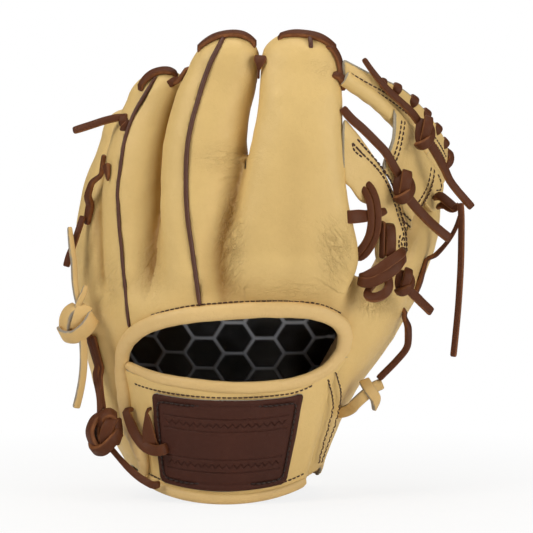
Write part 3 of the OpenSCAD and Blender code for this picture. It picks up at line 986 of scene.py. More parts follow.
BROWN_THREAD = ThreadFinish("Brown thread", Slot.LACE, (62, 36, 26))
PATCH_THREAD = ThreadFinish("Patch thread", Slot.LACE, (36, 18, 13))
RIB_LINER = PadFinish("Black ribbed liner", Slot.LINER, (6, 6, 7), (150, 154, 164), gloss=0.3)
FELT = PadFinish("Grey felt", Slot.FELT, (150, 146, 138), (170, 166, 156), gloss=0.95, weave=900.0, depth=0.0006)
LINING = HideFinish("Lining hide", Slot.LINING, (196, 160, 112), (168, 130, 84), grain=0.3, wrinkle=0.4)


# ---------------------------------------------------------------- pieces


class Bench:
    """Turns skins into pieces of the glove, each with its finish and the body it moves with."""

    FOLD_START: Triple = (0.028, 0.0, 0.0)
    FOLD_END: Triple = (0.0562, 0.0, -0.00706)
    _materials: Dict[str, bpy.types.Material] = {}

    @classmethod
    def material(cls, finish: Finish) -> bpy.types.Material:
        """The material of a finish, built the first time it is asked for.

        Args:
            finish: The finish.

        Returns:
            Its material.
        """
        if finish.name not in cls._materials:
            cls._materials[finish.name] = finish.material()
        return cls._materials[finish.name]

    @classmethod
    def piece(cls, name: str, skin: Skin, finish: Finish, body: Body, *nodes: str) -> Thing:
        """Makes a piece.

        Args:
            name: The piece's name.
            skin: Its surface, in millimetres.
            finish: Its finish.
            body: What it moves with.
            nodes: The frame's nodes it stands for.

        Returns:
            The object, in metres.
        """
        mesh = bpy.data.meshes.new(name)
        faces = [f for f in skin.faces if len(f)]
        sizes = np.concatenate([np.full(len(f), f.shape[1]) for f in faces])
        corners = np.concatenate([f.reshape(-1) for f in faces])
        mesh.vertices.add(len(skin.points))
        mesh.vertices.foreach_set("co", (skin.points * MM).astype(np.float32).reshape(-1))
        mesh.loops.add(len(corners))
        mesh.loops.foreach_set("vertex_index", corners.astype(np.int32))
        mesh.polygons.add(len(sizes))
        mesh.polygons.foreach_set("loop_start", np.concatenate([[0], np.cumsum(sizes)[:-1]]).astype(np.int32))
        mesh.polygons.foreach_set("use_smooth", np.ones(len(sizes), bool))
        mesh.update(calc_edges=True)
        mesh.validate()
        for label, values in skin.marks.items():
            mesh.attributes.new(label, "FLOAT", "POINT").data.foreach_set("value", values.astype(np.float32))
        mesh.materials.append(cls.material(finish))
        thing = bpy.data.objects.new(name, mesh)
        bpy.context.scene.collection.objects.link(thing)
        if body is Body.FOLD:
            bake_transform(thing)
        else:
            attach(thing, body.value)
        if nodes:
            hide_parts(*nodes)
        LOG.info("%s: %d points, moves with %s", name, len(skin.points), body.value)
        return thing


def flat_section() -> Tuple[Array, Array]:
    """The section of a flat strip, with soft corners and a face that is crowned a little.

    Returns:
        How far each of its points is across and out, as shares of half its width and thickness.
    """
    corner = np.radians([8, 45, 82])
    quarter = 1 - 0.55 * np.stack([1 - np.cos(corner), 1 - np.sin(corner)], 1)
    back = quarter[::-1] * (-1, 1)
    loop = np.concatenate([quarter, [(0.0, 1.03)], back, quarter * -1, [(0.0, -1.0)], back * -1])
    return tuple(loop.T)


def sweep(route: Array, facing: Array, sides: int = 12, square: float = 4.0, end: float = 0.35) -> Skin:
    """A lace, roll or cord swept along its route.

    Args:
        route: Points with a width and a thickness each.
        facing: The way its flat side faces at each point.
        sides: Points round the section, where it isn't flat.
        square: 2 for a round section, 4 for a flat strip with soft corners.
        end: How much of its thickness each end is rounded over.

    Returns:
        The skin, with `along` in millimetres and `across` from -1 to 1.
    """
    route = np.asarray(route, float)
    points, wide, thick = route[:, :3], route[:, 3], route[:, 4]
    along = unit(np.gradient(points, axis=0))
    out = unit(facing - np.sum(facing * along, axis=1, keepdims=True) * along)
    side = np.cross(along, out)
    run = run_along(points)
    shrink = end * float(np.mean(thick))
    stations = [(0, -0.0, 0.55), (0, shrink * 0.35, 0.86)] + [(k, 0.0, 1.0) for k in range(1, len(points) - 1)]
    stations += [(len(points) - 1, -shrink * 0.35, 0.86), (len(points) - 1, 0.0, 0.55)]
    a = 2 * math.pi * (np.arange(sides) + 0.5) / sides
    if square >= 4:
        u, v = flat_section()
        sides = len(u)
    else:
        u = np.sign(np.cos(a)) * np.abs(np.cos(a)) ** (2 / square)
        v = np.sign(np.sin(a)) * np.abs(np.sin(a)) ** (2 / square)
    rings, far, wide_at = [], [], []
    for k, slide, size in stations:
        centre = points[k] + along[k] * slide
        trim = 1.0 if size == 1.0 else max(0.0, 1 - (1 - size) * thick[k] / wide[k])
        across = u * wide[k] / 2 * trim
        if square >= 4:
            across = np.sign(u) * (wide[k] / 2 * trim - (1 - np.abs(u)) * thick[k] / 2) * (np.abs(u) > 0)
        rings.append(centre + np.outer(across, side[k]) + np.outer(v * thick[k] / 2 * size, out[k]))
        far.append(np.full(sides, run[k]))
        wide_at.append(u)
    m = len(rings)
    base = (np.arange(m - 1) * sides)[:, None]
    i = np.arange(sides)[None, :]
    j = (np.arange(sides) + 1)[None, :] % sides
    quads = np.stack([base + i, base + j, base + sides + j, base + sides + i], axis=-1).reshape(-1, 4)
    cap_a = np.arange(sides)[::-1][None, :]
    cap_b = (np.arange(sides) + (m - 1) * sides)[None, :]
    marks = {"along": np.concatenate(far), "across": np.concatenate(wide_at)}
    return Skin(np.concatenate(rings), [quads, cap_a, cap_b], marks).outward()


def stitched(line: Array, facing: Array, stitch: float = 3.0, gap: float = 0.9, thread: float = 0.95) -> Skin:
    """A row of stitches along a line on the leather.

    Args:
        line: Points close together along the row.
        facing: The way the leather faces at each.
        stitch: Length of a stitch.
        gap: Space between two stitches.
        thread: Width of the thread.

    Returns:
        All the stitches as one skin.
    """
    line = np.asarray(line, float)
    run = run_along(line)
    count = max(1, int(round(run[-1] / (stitch + gap))))
    pace = run[-1] / count
    both = np.concatenate([line, facing], axis=1)
    parts = []
    for k in range(count):
        at = np.linspace(k * pace + gap * 0.4, (k + 1) * pace - gap * 0.4, 6)
        row = np.stack([np.interp(at, run, both[:, c]) for c in range(6)], axis=1)
        sunk = thread * (0.30 - 0.75 * np.abs(np.linspace(-1, 1, 6)) ** 3)
        centre = row[:, :3] + unit(row[:, 3:]) * sunk[:, None]
        size = np.stack([np.full(6, thread), np.full(6, thread * 0.8)], 1) * np.array([0.75, 1, 1, 1, 1, 0.75])[:, None]
        parts.append(sweep(np.concatenate([centre, size], axis=1), unit(row[:, 3:]), sides=6, square=2.0))
    return Skin.join(parts)


def slab(outer: Array, inner: Array, rounding: float = 0.5) -> Skin:
    """A padded sheet between two grids of points, its edges rounded.

    Args:
        outer: Grid of points of the outer face, rows by columns.
        inner: The same grid on the inner face.
        rounding: How far the rim's middle stands out, as a share of the thickness.

    Returns:
        A closed skin with `rim` at its cut edge and `suede` on its inner face.
    """
    rows, cols = outer.shape[:2]
    index = np.arange(rows * cols).reshape(rows, cols)
    loop = np.concatenate([index[0, :-1], index[:-1, -1], index[-1, :0:-1], index[:0:-1, 0]])
    flat_out, flat_in = outer.reshape(-1, 3), inner.reshape(-1, 3)
    centre = (flat_out[loop] + flat_in[loop]) / 2
    down, right = (unit(np.gradient(outer, axis=k)) for k in (0, 1))
    away_grid = np.zeros_like(outer)
    away_grid[0] -= down[0]
    away_grid[-1] += down[-1]
    away_grid[:, 0] -= right[:, 0]
    away_grid[:, -1] += right[:, -1]
    away = unit(away_grid.reshape(-1, 3)[loop])
    thick = np.linalg.norm(flat_out[loop] - flat_in[loop], axis=1, keepdims=True)
    rim = centre + away * thick * rounding
    n = rows * cols
    points = np.concatenate([flat_out, flat_in, rim])
    face = np.stack([index[:-1, :-1], index[:-1, 1:], index[1:, 1:], index[1:, :-1]], axis=-1).reshape(-1, 4)
    k = np.arange(len(loop))
    nxt = np.roll(k, -1)
    rim_out = np.stack([loop[k], 2 * n + k, 2 * n + nxt, loop[nxt]], axis=-1)
    rim_in = np.stack([2 * n + k, n + loop[k], n + loop[nxt], 2 * n + nxt], axis=-1)
    marks = {"rim": np.concatenate([np.zeros(2 * n), np.ones(len(loop))])}
    marks["rim"][loop] = 0.15
    marks["rim"][n + loop] = 0.6
    marks["suede"] = np.concatenate([np.zeros(n), np.ones(n), np.zeros(len(loop))])
    return Skin(points, [face, face[:, ::-1] + n, rim_out, rim_in], marks).outward()


def ragged(values: Array, size: int) -> Array:
    """Rows with fewer than `size` numbers filled up from the row before.

    Args:
        values: The rows.
        size: How many numbers each should have.

    Returns:
        The filled table.
    """
    out: List[List[float]] = []
    for row in values:
        row = list(row)
        out.append(row + (out[-1][len(row):] if out else []))
    return np.array(out, float)[:, :size]


@dataclass
class Leather:
    """The hides of the glove's outside, cut from the form: three for the back and one for the palm.

    A seam is a list of heights and x, and the opening an outline in x and z. A line of painted shade is a route in x
    and z with its reach and strength. A patch of creases is its x and z, half width, half height, turn and strength.
    """

    form: GloveForm
    seam_gap: float = 0.25
    overlap: float = 0.03
    opening_depth: float = 36.0
    middle_seam: Rows = (
        (284, -15.2), (280, -16.4), (264, -24.4), (243, -31.1), (221, -36.6), (197, -38.1), (175, -37.2), (157, -34.8),
        (121, -29.9), (60, -29))
    ring_seam: Rows = (
        (259, -57.3), (229, -73.8), (197, -79.5), (182, -80.2), (157, -78.3), (132, -75.8), (107, -73.3), (96, -66),
        (0, -60))
    opening: Rows = (
        (-58, -30), (-61, 15), (-64, 30), (-71, 48), (-75, 72), (-76, 85), (-75, 95), (-70, 103), (-58, 109.5),
        (-44, 113), (-30, 115), (0, 117), (24, 117.5), (41, 116), (50, 111), (55, 102), (52, 92), (45, 84), (38, 76),
        (34, 60), (30, 40), (26, 20), (22, -30))
    # Lines of painted shade along the fold lines of the leather.
    shade_lines: Sequence[Tuple[Route, float, float]] = (
        (((-94, 176), (-97, 160), (-101, 143), (-102, 130)), 3.6, 0.6), (((-14, 152), (-17, 138),
                                                                          (-16, 124)), 4.5, 0.45),
        (((-71, 150), (-66, 136), (-64, 126)), 4.0, 0.3), (((60, 146), (62, 132), (58, 116)), 5.0, 0.22))
    creases: Sequence[Tuple[float, ...]] = (
        (-11, 158, 8, 28, 64, 1.0), (52, 154, 11, 19, 124, 0.8), (-16, 209, 15, 9, 4, 0.5), (76, 121, 10, 9, 82, 0.9),
        (26, 130, 26, 7, 8, 0.35), (-60, 140, 9, 20, 70, 0.35), (-86, 132, 9, 20, 60, 0.4), (100, 128, 8, 14, 60, 0.35),
        (44, 262, 9, 8, 20, 0.3))

    def __post_init__(self) -> None:
        """Works out the shell, the cut of the hand opening and how hollow each place is, for the painted shade in
        hollows.
        """
        block, form = self.form.block, self.form.form
        self.shell = np.maximum(form, -(form + self.form.leather))
        self.hollow = self.form._smoothed(form, 16)
        across = np.meshgrid(block.axes[0].astype(float), block.axes[2].astype(float), indexing="ij")
        cut = outline_distance(*across, np.array(self.opening, float))
        self.cut = np.maximum(cut[:, None, :], block.y - self.opening_depth).astype(np.float32)
        depth = np.interp(block.y, [20, 45], [14, 6])
        self.foot = ((2 + depth * ((block.x + 14) / 56) ** 2) - block.z).astype(np.float32)

    def _seam(self, rows: Rows) -> Array:
        """How far each point lies to the thumb's side of a seam given as heights and x."""
        table, block = np.array(sorted(rows), float), self.form.block
        return (block.x - row_at(table[:, 1:], place_of(table[:, 0], block.z))[..., 0]).astype(np.float32)

    def valley_shade(self, points: Array) -> Array:
        """How much painted shade each point gets: in the valley between two fingers, wider on the side that goes under
        its neighbour, along each shade line and broadly over the index side of the back.

        Args:
            points: Points of the leather.

        Returns:
            A share of painted shade for each point.
        """
        x, y, z = points.T
        out = np.zeros(len(points))
        pairs = ("middle", "index", 11.0, 0.56), ("ring", "middle", 15.0, 1.0), ("pinky", "ring", 4.5, 0.35)
        # Painted shade between each pair of fingers, wide on the finger that goes under, narrow on the one above.
        for left, right, reach, most in pairs:
            a, b = (self.form.block.sample(self.form.own[name], points) for name in (left, right))
            reach = reach * np.interp(z, [120, 150, 185, 230], [0.7, 1, 0.9, 0.5])
            under, over = np.clip(b, 0, 60) / reach, np.clip(a, 0, 60) / 2.4
            share = np.where(a < b, most * np.exp(-(under**1.3)), 0.45 * np.exp(-(over**1.3)))
            out = np.maximum(out, share * np.interp(z, [98, 118, 145, 200, 240], [0, 0.55, 1, 0.9, 0.6]))
        # Painted shade along each shade line.
        for route, reach, strength in self.shade_lines:
            near = np.full(len(points), 1e9)
            for ax, az in evenly(finer(np.array(route, float), 20), 2.0):
                near = np.minimum(near, np.hypot(x - ax, z - az))
            out = np.maximum(out, strength * np.exp(-((near / reach) ** 1.6)) * (y < 30))
        # Painted shade over the back from the middle finger to the index, fading towards the tips.
        side = np.interp(x, [-60, -35, 0, 48, 66], [0.1, 0.35, 1, 1, 0.25])
        return out + 0.36 * side * np.interp(z, [96, 122, 165, 205, 240, 262], [0.8, 1, 0.95, 0.8, 0.5, 0.1]) * (y < 20)

    def relief(self, points: Array) -> Array:
        """How far each point of the leather stands out for its soft, broad folds, in millimetres.

        Args:
            points: Points of the leather.

        Returns:
            The height of the folds at each.
        """
        x, y, z = points.T
        soft = 0.35 * np.sin(x * 0.11 + 1.3 * np.sin(z * 0.05)) * np.sin(z * 0.083 + 0.8 * np.sin(x * 0.07))
        fine = np.sin(x * 0.29 + 2.0 * np.sin(z * 0.11 + 1)), np.sin(z * 0.23 + np.sin(y * 0.2 + x * 0.1))
        return soft + 0.18 * fine[0] * fine[1]

    def creased(self, skin: Skin) -> None:
        """Marks where the leather is finely creased, and how far along and across the creases each point lies.

        Args:
            skin: The hide to mark.
        """
        x, _, z = skin.points.T
        best = np.zeros(len(x))
        run, cross = np.zeros(len(x)), np.zeros(len(x))
        for cx, cz, wide, high, angle, strength in self.creases:
            a = math.radians(angle)
            share = strength * np.exp(-((((x - cx) / wide) ** 2 + ((z - cz) / high) ** 2) ** 1.2))
            mine = share > best
            best = np.where(mine, share, best)
            run = np.where(mine, (x - cx) * math.cos(a) + (z - cz) * math.sin(a) + 300, run)
            cross = np.where(mine, (z - cz) * math.cos(a) - (x - cx) * math.sin(a) + 300, cross)
        skin.marks.update(crease=best, run=run, cross=cross)

    def panel(self, name: str, inside: Array, body: Body, *nodes: str) -> None:
        """Cuts one hide and makes its piece.

        Args:
            name: The piece's name.
            inside: A field, negative where this hide lies.
            body: What it moves with.
            nodes: The frame's nodes it stands for.
        """
        block = self.form.block
        skin = block.skin(np.maximum(self.shell, inside))
        depth = self.form.off(skin.points)
        leather = self.form.leather
        rim = np.clip((-0.55 - depth) / 0.4, 0, 1) * np.clip((depth + leather - 0.35) / 0.4, 0, 1)
        skin.marks["rim"] = rim
        skin.marks["suede"] = np.clip((-depth - leather + 0.9) / 0.4, 0, 1)
        # The `low` mark is painted shade: the hollows of the blurred form and the finger valley shade.
        hollow = -block.sample(self.hollow, skin.points) * 0.45 - 0.12
        skin.marks["low"] = np.clip(hollow + self.valley_shade(skin.points), 0, 0.92)
        self.creased(skin)
        normal = self.form.outward(skin.points)
        skin.points = skin.points + normal * self.relief(skin.points)[:, None]
        Bench.piece(name, skin, BLONDE, body, *nodes)

    def build(self) -> None:
        """Makes the four hides."""
        side, middle, ring = self.form.side, self._seam(self.middle_seam), self._seam(self.ring_seam)
        gap = self.seam_gap
        back = np.maximum(np.maximum(side - self.overlap, -self.cut), self.foot)
        self.panel("index_thumb_back", np.maximum(back, gap - middle), Body.FOLD, "index_back", "thumb_back")
        self.panel("middle_back_hide", np.maximum(back, np.maximum(middle + gap, gap - ring)), Body.FINGERS,
                   "middle_back", "ring_back")
        self.panel("pinky_back_hide", np.maximum(back, ring + gap), Body.FINGERS, "pinky_back")
        palm = np.maximum(-self.overlap - side, self.foot)
        sides = [name + "_palm_side" for name in self.form.stalls]
        self.panel("palm_hide", palm, Body.FOLD, "palm_shell", *sides)

    def welts(self) -> None:
        """The piped welts that stand in the back's two seams."""
        for name, rows, wide in (("middle_welt", self.middle_seam, 2.9), ("ring_welt", self.ring_seam, 2.2)):
            line = self.form.over([(x, z) for z, x in rows if z > (112 if name == "middle_welt" else 104)], 130, 0.35)
            line = relaxed(line, 14)
            taper = np.interp(np.arange(130), [0, 6, 122, 129], [0.8, 1, 1, 0.85])
            size = np.stack([wide * taper, wide * 1.05 * taper], 1)
            skin = sweep(np.concatenate([line, size], 1), self.form.outward(line), sides=10, square=2.2)
            Bench.piece(name + "_piping", skin, WELT, Body.FINGERS, name)


@dataclass
class Inside:
    """What the hand meets: the finger linings, the ribbed liner, the pads and the stiffeners.

    `hexagon` and `rib` size the honeycomb, and `lining` is how deep a lining's two faces lie in its stall.
    """

    form: GloveForm
    hexagon: float = 12.4
    rib: float = 3.4
    lining: Tuple[float, float] = (3.3, 5.5)
    pad_crown: float = 5.0

    def linings(self) -> None:
        """A thin inner stall in each finger."""
        block = self.form.block
        for name, low in (("index", 126), ("middle", 126), ("ring", 126), ("pinky", 128), ("thumb", 56)):
            own = self.form.own[name]
            deep = np.maximum(own, self.form.form)
            shell = np.maximum(np.maximum(deep + self.lining[0], -(deep + self.lining[1])), low - block.z)
            skin = block.skin(shell)
            skin.marks["suede"] = (block.sample(deep, skin.points) < -4.4).astype(float)
            body = Body.FOLD if name == "thumb" else Body.FINGERS
            Bench.piece(name + "_inner_stall", skin, LINING, body, name + "_lining")

    def ribs(self, x: Array, z: Array) -> Array:
        """How strongly a point belongs to a rib of the honeycomb, from 0 to 1.

        Args:
            x: Across the liner.
            z: Up the liner.

        Returns:
            The strength at each point.
        """
        wide, high = self.hexagon * 1.5, self.hexagon * 0.8
        best = np.full(x.shape, 1e9)
        second = best.copy()
        for column in range(-7, 8):
            for row in range(-3, 12):
                cx = column * wide
                cz = row * 2 * high + (high if column % 2 else 0)
                d = np.hypot(x - cx, (z - cz) * wide / (math.sqrt(3) * high))
                second = np.minimum(second, np.maximum(best, d))
                best = np.minimum(best, d)
        return np.clip((self.rib * 0.75 - (second - best)) / 1.2, 0, 1)

    def palm_liner(self) -> None:
        """The ribbed liner of the palm, seen through the hand opening."""
        x = np.linspace(-80, 52, 190)
        z = np.linspace(8, 119, 160)
        depth = self.form.wrist.palm_depth(x, z) - 4.2
        gx, gz = np.meshgrid(x, z, indexing="ij")
        points = np.stack([gx, depth, gz], -1)
        flat = points.reshape(-1, 3)
        for _ in range(5):
            flat = flat - self.form.outward(flat) * np.clip(self.form.off(flat) + 3.6, 0, 6)[:, None]
        points = flat.reshape(points.shape)
        raised = self.ribs(gx + 10, gz)
        face = points - np.array([0, 1, 0]) * (0.4 + 1.0 * raised)[..., None]
        skin = slab(face, points + np.array([0, 1.2, 0]))
        n = raised.size
        skin.marks["rib"] = np.concatenate([raised.reshape(-1), np.zeros(len(skin.points) - n)])
        Bench.piece("palm_liner", skin, RIB_LINER, Body.FINGERS, "palm_lining")

    def wrist_pad(self) -> None:
        """The padded liner behind the wrist strap."""
        turn, z = np.meshgrid(np.linspace(-52, 50, 110), np.linspace(7, 74, 70), indexing="ij")
        base = self.form.wrist.point(turn, z).reshape(-1, 3)
        raised = self.ribs(turn * 1.2, z).reshape(-1)
        outer = self.form.settle(base, -0.5).reshape(*turn.shape, 3)
        inner = self.form.settle(base, -3.2).reshape(*turn.shape, 3)
        normal = self.form.outward(base).reshape(*turn.shape, 3)
        skin = slab(outer, inner - normal * (0.9 * raised).reshape(*turn.shape, 1))
        n = raised.size
        skin.marks["rib"] = np.concatenate([np.zeros(n), raised, np.zeros(len(skin.points) - 2 * n)])
        piece = Bench.piece("wrist_pad", skin, RIB_LINER, Body.FINGERS, "wrist_liner")

    def heel_pads(self) -> None:
        """The two crowned felt pads of the palm's heel."""
        for name, body, (cx, cz), (half_x, half_z) in (
            ("pinky_heel_pad", Body.FINGERS, (-47, 38), (20, 27)), ("thumb_heel_pad", Body.FOLD, (19, 38), (15, 27)),
        ):
            u, v = np.meshgrid(np.linspace(-1, 1, 36), np.linspace(-1, 1, 36), indexing="ij")
            x = cx + half_x * u * np.sqrt(1 - v**2 / 2)
            z = cz + half_z * v * np.sqrt(1 - u**2 / 2)
            face = [self.form.wrist.palm_depth([a], [b])[0, 0] for a, b in zip(x.ravel(), z.ravel())]
            y = np.array(face).reshape(x.shape)
            reach = np.clip(u**2 + v**2 - u**2 * v**2, 0, 1)
            crown = self.pad_crown * np.sqrt(1 - reach) + 0.3
            back = np.stack([x, y - 3.2, z], -1)
            front = np.stack([x, y - 3.6 - crown, z], -1)
            piece = Bench.piece(name + "_felt", slab(front, back), FELT, body, name)

    @staticmethod
    def dress() -> None:
        """Gives the stiffeners and loops, which keep the shape they have, their felt and hide."""
        for node, finish in (("pinky_stiffener", FELT), ("thumb_stiffener", FELT), ("pinky_loop", LINING),
                             ("thumb_loop", LINING)):
            thing = bpy.data.objects.get(node)
            if thing is not None:
                for slot in thing.material_slots:
                    slot.link = "OBJECT"
                    slot.material = Bench.material(finish)


@dataclass
class WristSet:
    """The wrist strap with its rolls, the opening's binding, the bare patch and their stitches.

    The strap runs from one to the other of its `turns`, in degrees round the wrist. The patch's middle is a
    turn and a share of the strap's height, and its halves are in millimetres.
    """

    form: GloveForm
    turns: Tuple[float, float] = (-63.0, 56.0)
    patch_at: Tuple[float, float] = (-3.2, 0.485)
    patch_half: Tuple[float, float] = (46.0, 29.0)
    roll: Rows = (
        (-76, 84), (-58, 77.5), (-43, 75), (-30, 73.6), (-10, 72), (15, 73), (33, 76.5), (46, 83.5), (54, 92),
        (56.8, 102), (52.5, 111), (41, 116.8), (24, 118.8), (0.6, 118.3), (-30, 115.8), (-45, 113.5), (-59, 109.5),
        (-70, 102.5), (-76, 93), (-77, 80), (-75.6, 68), (-73.6, 56), (-71, 45), (-65.5, 34.5), (-61.8, 25),
        (-61.6, 16.5))

    def top(self, turn: Array) -> Array:
        """Height of the strap's upper edge at a turn."""
        side = np.clip((turn - 26) / 26, 0, 1)
        return 72 + 8 * (np.abs(turn + 2) / 60) ** 2 + 10 * side * side

    def foot(self, turn: Array) -> Array:
        """Height of the strap's lower edge at a turn."""
        return 3 + 11 * (np.abs(turn + 2) / 60) ** 2

    def on_strap(self, turn: Array, share: Array, lift: float) -> Array:
        """A place on the strap, by its turn and its share of the strap's height.

        Args:
            turn: The turn round the wrist.
            share: From 0 at the strap's foot to 1 at its top.
            lift: How far off the leather.

        Returns:
            The point for every pair.
        """
        turn, share = np.broadcast_arrays(np.asarray(turn, float), np.asarray(share, float))
        z = self.foot(turn) + (self.top(turn) - self.foot(turn)) * share
        base = self.form.wrist.point(turn, z).reshape(-1, 3)
        return self.form.settle(base, lift).reshape(*turn.shape, 3)

    def strap(self) -> None:
        """The wide leather strap."""
        turn, share = np.meshgrid(np.linspace(*self.turns, 150), np.linspace(0.0, 1.0, 60), indexing="ij")
        base = self.on_strap(turn, share, 0.5)
        swell = 0.35 * np.sin(turn * 0.16) * np.sin(share * 6.0)
        edge = np.clip((turn - self.turns[1] + 9) / 9, 0, 1)
        normal = self.form.outward(base.reshape(-1, 3)).reshape(base.shape)
        outer = self.on_strap(turn, share, 3.3) + normal * swell[..., None]
        outer = outer + (base - outer) * (0.8 * edge**2)[..., None]
        Bench.piece("wrist_strap_hide", slab(outer, base), BLONDE, Body.FINGERS, "wrist_strap")

    def rolls(self) -> None:
        """The rolled bindings of the strap and of the hand opening."""
        foot = self.on_strap(np.linspace(-58, 53, 120), 0.0, 2.4)
        size = np.tile([6.4, 5.2], (120, 1)) * np.interp(np.arange(120), [0, 4, 115, 119], [0.7, 1, 1, 0.7])[:, None]
        foot_roll = sweep(np.concatenate([foot, size], 1), self.form.outward(foot), sides=16, square=2.4)
        Bench.piece("strap_foot_roll", foot_roll, CREAM_ROLL, Body.FINGERS, "strap_binding")
        count = 420
        line = self.form.over(self.roll, count, 1.4)
        at = np.linspace(0, len(self.roll) - 1, count)
        lift = np.interp(at, [0, 7, 9, 18, 20, 24], [0.2, 1.8, 0.2, 0.6, 2.6, 4.0])
        line = line + self.form.outward(line) * lift[:, None]
        line = relaxed(line, 6)
        wide = np.interp(at, [0, 1, 6, 9, 13, 24], [5.5, 6.8, 7.4, 9.6, 9.8, 9.6])
        wide *= 1 + 0.03 * np.sin(at * 7.3) * np.sin(at * 2.1)
        size = np.stack([wide, wide * 0.74], 1) * np.interp(at, [0, 0.3, 23.7, 24], [0.7, 1, 1, 0.8])[:, None]
        skin = sweep(np.concatenate([line, size], 1), self.form.outward(line), sides=20, square=2.3)
        Bench.piece("opening_roll", skin, CREAM_ROLL, Body.FINGERS, "opening_binding")

    def patch(self) -> None:
        """The bare brown patch, with its raised middle, sunk border and rounded corners."""
        half, corner = 38.6, 0.085
        u, v = np.meshgrid(np.linspace(-1, 1, 230), np.linspace(-1, 1, 146), indexing="ij")
        bend = np.clip((np.abs(v) - (1 - corner * 1.55)) / (corner * 1.55), 0, 1)
        pull = 1 - corner * (1 - np.sqrt(1 - bend**2))
        turn = self.patch_at[0] + half * u * pull
        share = self.patch_at[1] + 0.405 * v
        low = self.on_strap(turn, share, 3.4)
        wide, high = self.patch_half
        across, up = u * wide, v * high
        border = np.minimum(wide - np.abs(across), high - np.abs(up))
        raised = -0.6 * np.exp(-(((border - 3.9) / 0.9) ** 2)) - 0.5 * np.clip(1 - border / 1.2, 0, 1)
        raised += 0.3 * np.sin(turn * 0.21 + 1) * np.sin(share * 9) * np.clip(border / 12, 0, 1)
        teeth = np.abs((across / 4.6) % 1 - 0.5) * 2
        for height, sign in ((13.0, 1), (-13.0, -1)):
            off = (up - height) * sign
            raised -= 0.9 * np.clip(1.2 - np.abs(off - 2.6 * teeth + 1.3) / 0.5, 0, 1) * (np.abs(across) < 37)
        for height in (9.0, -9.0, 17.2, -17.2):
            raised -= 0.75 * np.clip(1.3 - np.abs(up - height) / 0.45, 0, 1) * (np.abs(across) < 38)
        normal = self.form.outward(low.reshape(-1, 3)).reshape(low.shape)
        face = low + normal * (2.0 + raised)[..., None]
        Bench.piece("bare_patch", slab(face, low), PATCH, Body.FINGERS, "label_patch")

    def stitches(self) -> None:
        """Thread along the strap, the opening and the patch."""
        rows = []
        for turn, share, lift in (
            (np.linspace(-55, 40, 160), np.full(160, 0.915), 3.5),
            (np.linspace(-55, 49, 160), np.full(160, 0.085), 3.4),
        ):
            line = self.on_strap(turn, share, lift)
            rows.append(stitched(line, self.form.outward(line), 2.4, 0.8))
        for route in (
            ((45.8, 76), (48.8, 60.4), (46.5, 48), (43.2, 36), (39.7, 22)), ((50.6, 80), (53.7, 66.5), (51.2, 50.6),
                                                                             (46, 35), (41.7, 22)),
        ):
            line = self.form.over(route, 90, 2.9)
            rows.append(stitched(line, self.form.outward(line), 2.6, 0.6, 1.0))
        route = ((-60, 114.6), (-46, 118.6), (-30, 121.4), (0, 123.6), (24, 123.6), (42, 121.8), (55, 115.8))
        line = self.form.over(route, 200, 0.1)
        rows.append(stitched(line, self.form.outward(line), 2.6, 0.7, 0.95))
        Bench.piece("strap_stitches", Skin.join(rows), BROWN_THREAD, Body.FINGERS)
        a, squareness = np.linspace(0, 2 * math.pi, 400), 0.12
        turn = self.patch_at[0] + 35.2 * np.sign(np.cos(a)) * np.abs(np.cos(a)) ** squareness
        share = self.patch_at[1] + 0.352 * np.sign(np.sin(a)) * np.abs(np.sin(a)) ** squareness
        dense = evenly(self.on_strap(turn, share, 5.75), 0.7)
        skin = stitched(dense, self.form.outward(dense), 2.8, 0.6, 1.15)
        Bench.piece("patch_stitches", skin, PATCH_THREAD, Body.FINGERS)


